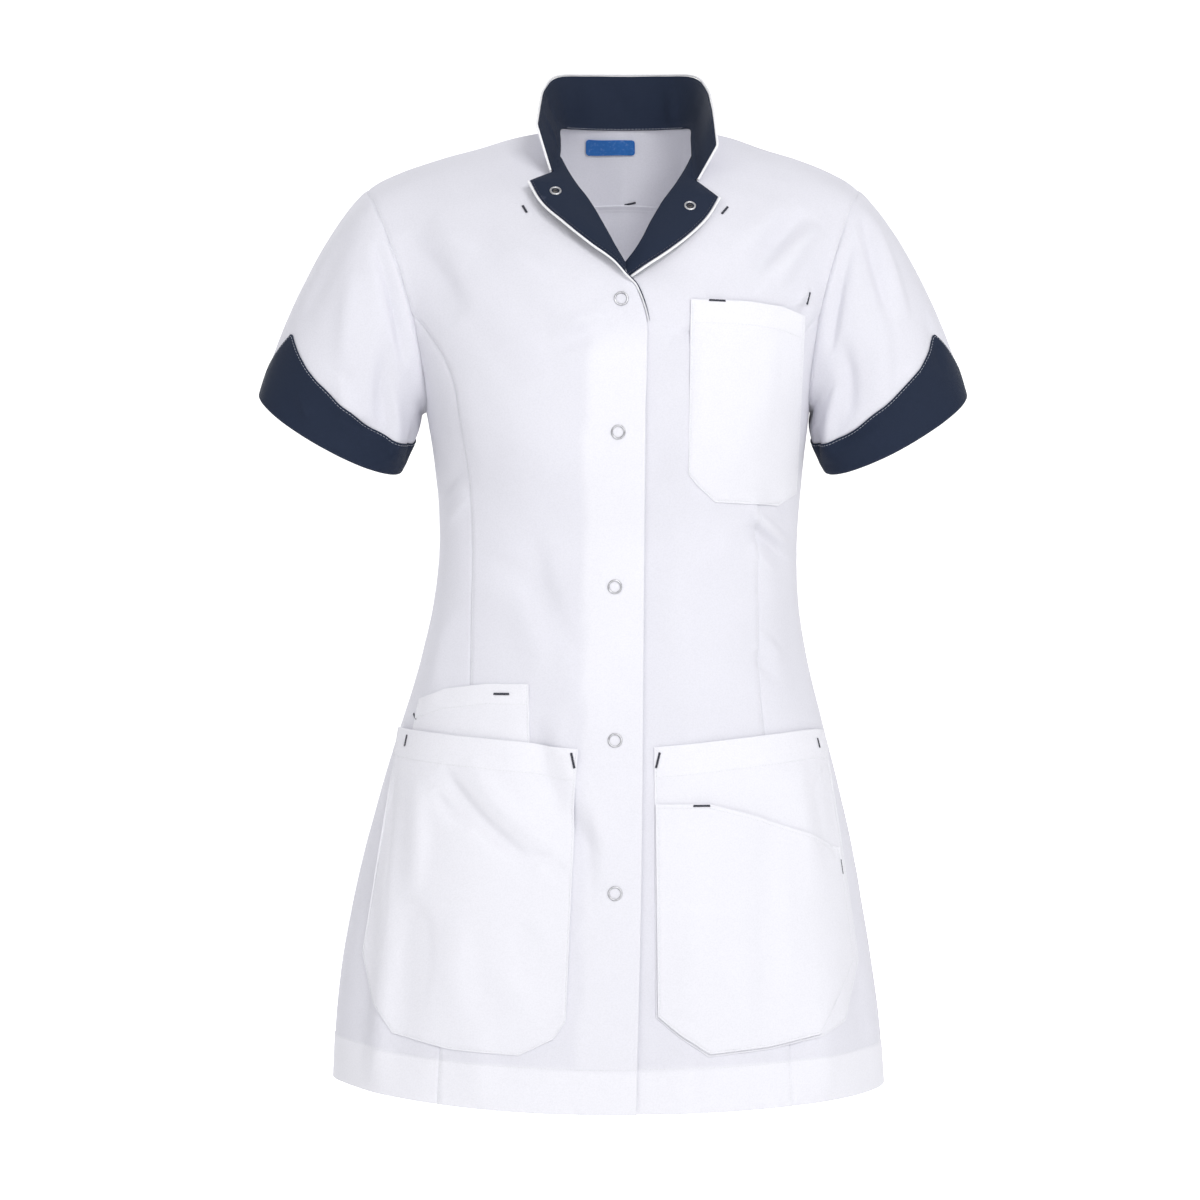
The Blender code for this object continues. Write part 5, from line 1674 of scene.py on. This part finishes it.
def make_fronts(fronts):
    cloths, lines = {}, []
    for side, word in SIDES:
        cloth = Cloth(fronts[side].centre_rows(FRONT_COLUMNS + 1), from_axis, tucks=("high",))
        heights = panel_heights(cloth, FRONT_CREASES, FORWARDS, HEM_SEED)
        heights += sewn(cloth, "right", PRINCESS_SEED) + sunk(cloth.high)
        if side == RIGHT:
            heights += placket_heights(cloth)
        cloth.push(heights)
        lines.append(cloth.line("right", STITCHED_AT, 0.0, PRINCESS_STITCHED_TO))
        lines.append(cloth.line("low", HEM_DEPTH))
        place_cloth(f"front_{word}", cloth)
        cloths[f"front_{word}"] = cloth

        beside = Cloth(fronts[side].side_rows(SIDE_COLUMNS + 1), from_axis, tucks=("left", "right"))
        heights = panel_heights(beside, FRONT_CREASES, FORWARDS, HEM_SEED)
        heights += sewn(beside, "left", PRINCESS_SEED, False) + sewn(beside, "right", SIDE_SEED, False)
        heights += sunk(beside.left / PRINCESS_FALL, PRINCESS_DROP)
        beside.push(heights)
        lines.append(beside.line("low", HEM_DEPTH))
        place_cloth(f"side_front_{word}", beside)
        cloths[f"side_front_{word}"] = beside
    placed_piece(stitching("stitching_fronts", lines, WHITE_THREAD), WHITE_SLOT)
    return cloths


def make_back(backs):
    count = BACK_COLUMNS + 1
    lower = np.array([back_row(z, count) for z in body_heights(BODY_ROWS + 1)])
    upper = upper_back_rows(backs, underarm_line, yoke_seam, BACK_CHEST_ROWS, count)
    cloth = Cloth(lifted_hem(np.concatenate([lower, upper[1:]])), from_axis, tucks=("high",))
    heights = panel_heights(cloth, BACK_CREASES, BACKWARDS, BACK_HEM_SEED) + sewn(cloth, "left", SIDE_SEED)
    heights += sewn(cloth, "right", SIDE_SEED) + sewn(cloth, "high", YOKE_SEED, False)
    cloth.push(heights)
    place_cloth("back", cloth)
    lines = [cloth.line("low", HEM_DEPTH), cloth.line("left", STITCHED_AT), cloth.line("right", STITCHED_AT)]

    points = upper_back_rows(backs, yoke_seam, shoulder_line, YOKE_ROWS + 1, count)
    yoke = Cloth(points, from_axis)
    heights = swollen(yoke.points, SWELLS, PANEL_SEED) + sewn(yoke, "low", YOKE_SEED) + sunk(yoke.high)
    heights += sewn(yoke, "left", ARMHOLE_SEED, False) + sewn(yoke, "right", ARMHOLE_SEED, False)
    yoke.push(heights)
    place_cloth("back_yoke", yoke)
    lines.append(yoke.line("low", STITCHED_AT))
    placed_piece(stitching("stitching_back", lines, WHITE_THREAD), WHITE_SLOT)
    return yoke


# Sleeves


CUFF_OFF, CUFF_CLOTH, CUFF_INSIDE, CUFF_INSIDE_ROWS, CUFF_TURN = 1.55, 1.1, 14.0, 5, 7


def folded_cuff(outer, normals):
    """Rows of the cuff from its edge inside, round the hem and up its outer face."""
    down = unit(outer[0] - outer[1])
    spread = CUFF_OFF + CUFF_CLOTH
    middle = outer[0] - normals[0] * spread / 2
    inside = []
    for height in np.linspace(CUFF_INSIDE, 0, CUFF_INSIDE_ROWS + 1)[:-1]:
        inside.append(outer[0] - normals[0] * spread - down * height)
    bend = []
    for turn in np.linspace(-math.pi / 2, math.pi / 2, CUFF_TURN):
        bend.append(middle + (normals[0] * math.sin(turn) + down * math.cos(turn)) * spread / 2)
    return np.concatenate([np.array(inside), np.array(bend), outer[1:]])


def make_sleeves(fronts, backs):
    turn = np.arange(SLEEVE_COLUMNS) * 360.0 / SLEEVE_COLUMNS
    to_top = np.minimum(turn, 360.0 - turn)
    shares = np.linspace(0, 1, SLEEVE_ROWS + 1) ** SLEEVE_CLOSER
    grey_lines = []
    for side, word in SIDES:
        rings = sleeve_rings(side, fronts[side].upper, backs[side], SLEEVE_COLUMNS, shares)
        cloth = Cloth(rings, from_ring, closed=True, tucks=("low",))
        share = cloth.low / (cloth.low + cloth.high)
        across = np.radians(np.broadcast_to(turn, share.shape)) * SLEEVE_ROUND
        scales = np.array((math.radians(SLEEVE_ROUND), SLEEVE_LONG) * 2)
        table = [(*(np.array(row[:4]) * scales), *row[4:]) for row in SLEEVE_CREASES[side]]
        heights = creased(across, share * SLEEVE_LONG, table)
        heights += swollen(cloth.points, SWELLS, SLEEVE_SEED + side)
        heights *= np.clip(cloth.low / SLEEVE_HOLD, SLEEVE_HELD, 1)
        heights += sunk(cloth.low) + puckered(cloth.points, cloth.low, SLEEVE_TOP_SEED)
        cloth.push(heights)
        place_cloth(f"sleeve_{word}", cloth)

        climb = np.interp(to_top, CUFF_HEIGHT[:, 0], CUFF_HEIGHT[:, 1])
        places, normals = cuff_rings(cloth.points, cloth.normals(), climb)
        outer = places + unit(normals) * CUFF_OFF
        band = Cloth(folded_cuff(outer, unit(normals)), from_ring, closed=True)
        band.push(swollen(band.points, NAVY_SWELLS, CUFF_SEED + side) + grooved(band.high))
        place_cloth(f"cuff_{word}", band, CUFF_CLOTH, NAVY_CLOTH, NAVY_SLOT)
        grey_lines.append(band.line("high", STITCHED_AT))
    placed_piece(stitching("stitching_cuffs", grey_lines, GREY_THREAD, CUFF_CLOTH / 2), NAVY_SLOT)


# Collar and lapels


COLLAR_CLOTH, COLLAR_OFF, COLLAR_REACH = 1.1, 0.75, 2.6
COLLAR_FOOT, COLLAR_STITCHED_AT, COLLAR_STITCHED_BEHIND = 1.2, 0.9, 28.0
LAPEL_CLOTH, LAPEL_OFF, ROLL_RADIUS, ROLL_INSIDE = 1.2, 0.75, 1.9, 11.0
# The roll narrows within this distance of the lapel's foot
ROLL_FADE = 25.0
# The left lapel's end goes on by this much under the right front, in so many rows
LEFT_LAPEL_END, LEFT_LAPEL_ROWS = np.array((-6.2, 2.2, -4.2)), 4


def make_collar():
    points, seam = collar_grid()
    reach = unit(points[1] - points[0]) * COLLAR_REACH
    for offset, name, slot, look in (
        (-COLLAR_OFF, "collar_inner", NAVY_SLOT, NAVY_CLOTH),
        (COLLAR_OFF, "collar_outer", WHITE_SLOT, WHITE_CLOTH),
    ):
        cloth = Cloth(np.concatenate([points[:1] - reach, points]), from_neck)
        navy = slot == NAVY_SLOT
        places = run_lengths(cloth.points, 1)
        heights = creased(places, cloth.low, COLLAR_CREASES)
        heights += swollen(cloth.points, NAVY_SWELLS, COLLAR_SEED)
        if navy:
            heights -= COLLAR_FOOT * stepped(cloth.low, COLLAR_REACH + 1.0, 3.0)
        cloth.push(heights + offset)
        place_cloth(name, cloth, COLLAR_CLOTH, look, slot)
        if navy:
            line, normals = cloth.line("low", COLLAR_STITCHED_AT)
            behind = line[:, 1] > COLLAR_STITCHED_BEHIND
            lines = [(line[behind], -normals[behind])]
            placed_piece(stitching("stitching_collar", lines, GREY_THREAD, COLLAR_CLOTH / 2), NAVY_SLOT)
    clear = PIPING_RADIUS + PIPING_GAP
    rim = points[-1] + unit(points[-1] - points[-2]) * clear
    ends = []
    for column, beside in ((0, 1), (-1, -2)):
        away = unit(points[:, column] - points[:, beside]) * clear
        ends.append(points[:, column] + away)
        rim[column] += away[-1]
    path = np.concatenate([ends[0][:-1], rim, ends[1][-2::-1]])
    path[0] += unit(path[1] - path[0]) * PIPING_TRIM
    path[-1] += unit(path[-2] - path[-1]) * PIPING_TRIM
    made = cord("binding_collar", softened(path, COLLAR_SOFTENINGS), PIPING_RADIUS, PIPING_CLOTH)
    placed_piece(made, PIPING_SLOT, "piping_collar")
    return seam


def rolled(points, normals):
    """The lapel's grid with columns before its roll line that turn in behind the front."""
    out = unit(points[:, 1] - points[:, 0])
    to_foot = np.linalg.norm(points[:, 0] - points[-1, 0], axis=1)[:, None]
    radius = ROLL_RADIUS * np.clip(to_foot / ROLL_FADE, 0.75, 1)
    middle = points[:, 0] - normals[:, 0] * radius
    reach = out * ROLL_INSIDE * np.clip(to_foot / ROLL_FADE, 0.1, 1)
    columns = [middle - normals[:, 0] * radius + reach * inside for inside in (1.0, 0.6, 0.25)]
    for turn in np.linspace(0, math.pi, 8)[:-1]:
        columns.append(middle - (normals[:, 0] * math.cos(turn) + out * math.sin(turn)) * radius)
    return np.concatenate([np.stack(columns, axis=1), points], axis=1)


def make_lapel(side, word, seam):
    points = lapel_grid(side, seam, LAPEL_ROWS, LAPEL_COLUMNS)
    if side == LEFT:
        under = points[-1] + np.linspace(0, 1, LEFT_LAPEL_ROWS + 1)[1:, None, None] * LEFT_LAPEL_END
        points = np.concatenate([points, under])
    normals = grid_normals(points, forward(points))
    middle = points + normals * LAPEL_OFF
    cloth = Cloth(rolled(middle, normals), forward)
    heights = swollen(cloth.points, NAVY_SWELLS, LAPEL_SEED + side) + grooved(cloth.right)
    cloth.push(heights)
    place_cloth(f"lapel_{word}", cloth, LAPEL_CLOTH, NAVY_CLOTH, NAVY_SLOT)
    start = sum(LAPEL_ROWS[:2]) / sum(LAPEL_ROWS)
    lines = [cloth.line("right", STITCHED_AT, start, LAPEL_STITCHED_TO)]
    placed_piece(stitching(f"stitching_lapel_{word}", lines, NAVY_THREAD, LAPEL_CLOTH / 2), NAVY_SLOT)

    edge = middle[sum(LAPEL_ROWS[:2]):]
    away = edge[:, -1] - edge[:, -2]
    along = unit(np.gradient(edge[:, -1], axis=0))
    away = unit(away - (away * along).sum(axis=1, keepdims=True) * along)
    path = list(edge[:, -1] + away * (PIPING_RADIUS + PIPING_GAP))
    if side == RIGHT:
        path += edge_piping()
    path = softened(path, LAPEL_SOFTENINGS)
    radius = np.full(len(path), PIPING_RADIUS)
    if side == RIGHT:
        radius *= np.interp(np.linspace(0, 1, len(path)), *BINDING_TAPER)
    made = cord(f"binding_lapel_{word}", path, radius, PIPING_CLOTH)
    placed_piece(made, PIPING_SLOT, f"piping_lapel_{word}")
    return cloth, path


def make_facing_edge(path):
    """The navy facing's edge, which shows as a thin line beyond the binding of the right front."""
    low = path[len(path) * 2 // 5:]
    along = unit(np.gradient(low, axis=0))
    out = unit(np.cross(along, (0.0, -1.0, 0.0)))
    out *= np.sign(out[:, :1] + LEAST)
    radius = FACING_RADIUS * np.interp(np.linspace(0, 1, len(low)), *FACING_TAPER)
    made = cord("facing_edge", low + out * FACING_OUT + (0.0, FACING_BEHIND, 0.0), radius, NAVY_CLOTH, 8)
    placed_piece(made, NAVY_SLOT)


# What lies on the front


def smooth_fronts(fronts):
    """The fronts without seams, for what lies on them."""
    grids = []
    for side in (RIGHT, LEFT):
        points = fronts[side].whole_rows(FINE_COLUMNS)
        normals = grid_normals(points, from_axis(points))
        heights = creased(points[..., 0], points[..., 2], FRONT_CREASES) * facing(points, FORWARDS)
        grids.append(points + normals * heights[..., None])
    return Surface(grids)


def fine_stations(columns, step):
    """Stations between a pocket's columns, about a step apart along its longer edge."""
    stations = []
    for number in range(len(columns) - 1):
        here, there = np.array(columns[number]), np.array(columns[number + 1])
        reach = max(math.hypot(*(there - here)[:2]), math.hypot(*(there - here)[2:]))
        count = max(1, round(reach / step))
        stations.extend(number + np.arange(count) / count)
    stations.append(len(columns) - 1)
    return np.array(stations)


def fine_laid(surface, columns, step):
    """Fine points on the front under a pocket, from its bottom edge up."""
    columns = np.array(columns, float)
    stations = fine_stations(columns, step)
    base = np.arange(len(columns))
    edges = [np.interp(stations, base, columns[:, number]) for number in range(4)]
    rows = int((columns[:, 1].max() - columns[:, 3].min()) / step)
    grid = []
    for up in np.linspace(0, 1, rows + 1):
        x = edges[2] * (1 - up) + edges[0] * up
        z = edges[3] * (1 - up) + edges[1] * up
        grid.append([surface.front(*place) for place in zip(x, z)])
    return np.array(grid)


def make_pocket(name, surface, seed):
    columns, creases, mouth, shape, depth, at_mouth, extra = POCKETS[name]
    points = fine_laid(surface, columns, POCKET_STEP)
    eased_y = points[..., 1]
    for _ in range(POCKET_EASINGS):
        eased_y[1:-1] = (eased_y[:-2] + 2 * eased_y[1:-1] + eased_y[2:]) / 4
    cloth = Cloth(points, forward)
    x, z = cloth.points[..., 0], cloth.points[..., 2]
    held = np.clip(np.minimum(np.minimum(cloth.left, cloth.right), cloth.low) / POCKET_HOLD, 0, 1)
    stand = POCKET_OFF + puff(cloth.points, shape, depth, at_mouth) + extra
    own = creased(x, z, creases) * held + swollen(cloth.points, SWELLS, seed) * held
    heights = stand + swollen(cloth.points, SWELLS, PANEL_SEED)
    heights += np.maximum(own, POCKET_OFF - stand + 0.1 * own)
    for edge in ("left", "right", "low"):
        distance = getattr(cloth, edge)
        heights += grooved(distance) + puckered(cloth.points, distance, seed + 3.0) * np.clip(distance, 0, 1)
    heights += grooved(cloth.high, mouth) + HEM_THICKER * stepped(cloth.high, mouth)
    heights += puckered(cloth.points, cloth.high, seed + 5.0, at=mouth)
    cloth.layers += POCKET_BRIGHT + MOUTH_BRIGHT * stepped(cloth.high, mouth, 4.0)
    cloth.push(heights)
    place_cloth(name, cloth, POCKET_CLOTH)
    lines = [cloth.line(edge, STITCHED_AT) for edge in ("left", "right", "low")]
    lines.append(cloth.line("high", mouth, *MOUTH_STITCHED))
    return cloth, lines


def make_pockets(surface):
    cloths, lines = {}, []
    for number, name in enumerate(POCKETS):
        cloths[name], found = make_pocket(name, surface, POCKET_SEED + number)
        lines += found
    placed_piece(stitching("stitching_pockets", lines, WHITE_THREAD, POCKET_CLOTH / 2), WHITE_SLOT)
    return cloths


def surface_of(cloths, lift):
    return Surface([cloth.points + cloth.normals() * lift for cloth in cloths])


def bar_on(surface, x0, z0, x1, z1, find="front"):
    start, end = (np.array(getattr(surface, find)(*place)) for place in ((x0, z0), (x1, z1)))
    beside = np.array(getattr(surface, find)((x0 + x1) / 2 + 1.0, (z0 + z1) / 2 + 0.3))
    normal = unit(np.cross(end - start, beside - start))
    normal = normal * -np.sign(normal[1])
    return start + normal * BAR_LIFT, end + normal * BAR_LIFT, normal


def make_bartacks(fronts, pockets, yoke):
    carriers = {name: surface_of([cloth], POCKET_CLOTH / 2) for name, cloth in pockets.items()}
    carriers["front"] = surface_of(fronts.values(), CLOTH / 2)
    bars = [bar_on(carriers[carrier], x0, z0, x1, z1) for x0, z0, x1, z1, carrier in BARTACKS]
    inside = surface_of([yoke], -CLOTH / 2)
    bars.append(bar_on(inside, *YOKE_BARTACK, find="back"))
    placed_piece(bartacks("bartacks", bars, NAVY_THREAD), NAVY_SLOT)


def normal_at(surface, x, z, reach=SNAP_RADIUS):
    left, right = surface.front(x - reach, z), surface.front(x + reach, z)
    below, above = surface.front(x, z - reach), surface.front(x, z + reach)
    normal = unit(np.cross(right - left, above - below))
    return normal * -np.sign(normal[1])


def make_snaps(fronts, lapels):
    surface = surface_of([fronts["front_right"]], CLOTH / 2)
    for number, (x, z) in enumerate(FRONT_SNAPS, start=1):
        made = turned_ring(f"ring_{number}", RING, surface.front(x, z), normal_at(surface, x, z), STEEL)
        placed_piece(made, STEEL_SLOT, f"snap_{number}")
    for side, word in SIDES:
        on_lapel = surface_of([lapels[side][0]], LAPEL_CLOTH / 2)
        place, normal = on_lapel.front(*LAPEL_RINGS[side]), normal_at(on_lapel, *LAPEL_RINGS[side])
        made = turned_ring(f"ring_lapel_{word}", LAPEL_RING, place, normal, STEEL)
        placed_piece(made, STEEL_SLOT, f"snap_lapel_{word}")
        made = turned_ring(f"socket_lapel_{word}", SOCKET, place, normal, DARK_STEEL)
        placed_piece(made, STEEL_SLOT)


def make_label(yoke):
    across, height, half_width, half_height = LABEL
    surface = surface_of([yoke], -CLOTH / 2)
    grid = []
    for z in np.linspace(-half_height, half_height, LABEL_ROWS + 1):
        into = max(0.0, LABEL_ROUNDING - (half_height - abs(z)))
        reach = half_width - LABEL_ROUNDING + math.sqrt(max(0.0, LABEL_ROUNDING**2 - into**2))
        places = np.linspace(-reach, reach, LABEL_COLUMNS + 1)
        grid.append([surface.back(across + x, height + z) for x in places])
    cloth = Cloth(np.array(grid), forward)
    cloth.push(np.full(cloth.points.shape[:2], LABEL_OFF))
    placed_piece(shell("label_patch", cloth, LABEL_CLOTH, LABEL_PATCH), LABEL_SLOT, "neck_label")


# Camera, light and floor


# The camera's place, in metres, and its lens and sensor, in millimetres
CAMERA_PLACE = (-0.00975, -2.7, -0.341)
CAMERA_LENS, CAMERA_SENSOR = 108.0, 36.0
ROOM_LIGHT, BACKDROP_LIGHT, FLOOR_GLOW = 0.68, 1.3, 0.8
# The floor: how far it reaches to each side, and its height, in metres
FLOOR_REACH, FLOOR_HEIGHT = 12.0, -0.95
LIT_PLACE = (0.0, 0.0, -0.35)
# Lamps: name, place and size in metres, and power in watts
LAMPS = (
    ("key", (0.95, -2.6, 1.05), 1.0, 41.5),
    ("fill", (-1.7, -2.3, 0.3), 1.1, 6.0),
    ("low side", (2.0, -1.0, -1.1), 0.9, 2.5),
    ("back key", (-1.3, 2.6, 1.1), 1.2, 38.0),
    ("back fill", (1.7, 2.2, 0.2), 1.2, 8.0),
)


def make_camera():
    camera = linked("camera", bpy.data.cameras.new("camera"))
    camera.data.lens = CAMERA_LENS
    camera.data.sensor_width = CAMERA_SENSOR
    camera.location = CAMERA_PLACE
    camera.rotation_euler = (math.pi / 2, 0.0, 0.0)
    bpy.context.scene.camera = camera


def make_room():
    """Soft light from all round, and a white backdrop that only the camera sees."""
    world = bpy.data.worlds.new("studio")
    bpy.context.scene.world = world
    world.use_nodes = True
    tree = world.node_tree
    room = tree.nodes["Background"]
    room.inputs["Color"].default_value = (0.99, 0.99, 1.0, 1.0)
    room.inputs["Strength"].default_value = ROOM_LIGHT
    backdrop = tree.nodes.new("ShaderNodeBackground")
    backdrop.inputs["Color"].default_value = (*WHITE, 1.0)
    backdrop.inputs["Strength"].default_value = BACKDROP_LIGHT
    rays = tree.nodes.new("ShaderNodeLightPath")
    both = tree.nodes.new("ShaderNodeMixShader")
    tree.links.new(rays.outputs["Is Camera Ray"], both.inputs[0])
    tree.links.new(room.outputs[0], both.inputs[1])
    tree.links.new(backdrop.outputs[0], both.inputs[2])
    tree.links.new(both.outputs[0], tree.nodes["World Output"].inputs["Surface"])


def make_lamps():
    for name, place, size, power in LAMPS:
        light = bpy.data.lights.new(name, "AREA")
        light.shape = "SQUARE"
        light.size = size
        light.energy = power
        lamp = linked(name, light)
        lamp.location = place
        lamp.rotation_euler = (Vector(LIT_PLACE) - Vector(place)).to_track_quat("-Z", "Y").to_euler()


def make_floor():
    look = Look("pale floor")
    seen = look.add("ShaderNodeLightPath").outputs["Is Camera Ray"]
    material = look.finished({
        "Base Color": look.ramp(look.noise(3.0), ((0.3, (0.97,) * 3), (0.7, (0.99,) * 3))),
        "Roughness": 0.9,
        "Specular IOR Level": 0.0,
        "Emission Color": (*WHITE, 1.0),
        "Emission Strength": look.spread(seen, 0.0, FLOOR_GLOW),
    })
    ends = (-FLOOR_REACH, FLOOR_REACH)
    corners = np.array([(x, y, FLOOR_HEIGHT) for y in ends for x in ends])
    mesh_object("floor", corners / MM, [[0, 1, 3, 2]], material)


def make_studio():
    make_camera()
    make_room()
    make_lamps()
    make_floor()
    settings = bpy.context.scene.view_settings
    settings.view_transform = "Standard"
    settings.look = "None"
    settings.exposure = 0.0
    settings.gamma = 1.0


def build():
    fronts = {side: FrontForm(side) for side in (RIGHT, LEFT)}
    backs = {side: UpperPatch(side, False) for side in (RIGHT, LEFT)}
    front_cloths = make_fronts(fronts)
    yoke = make_back(backs)
    make_sleeves(fronts, backs)
    seam = make_collar()
    lapels = {side: make_lapel(side, word, seam) for side, word in SIDES}
    make_facing_edge(lapels[RIGHT][1])
    surface = smooth_fronts(fronts)
    pockets = make_pockets(surface)
    make_bartacks(front_cloths, pockets, yoke)
    make_snaps(front_cloths, lapels)
    make_label(yoke)
    make_studio()


build()
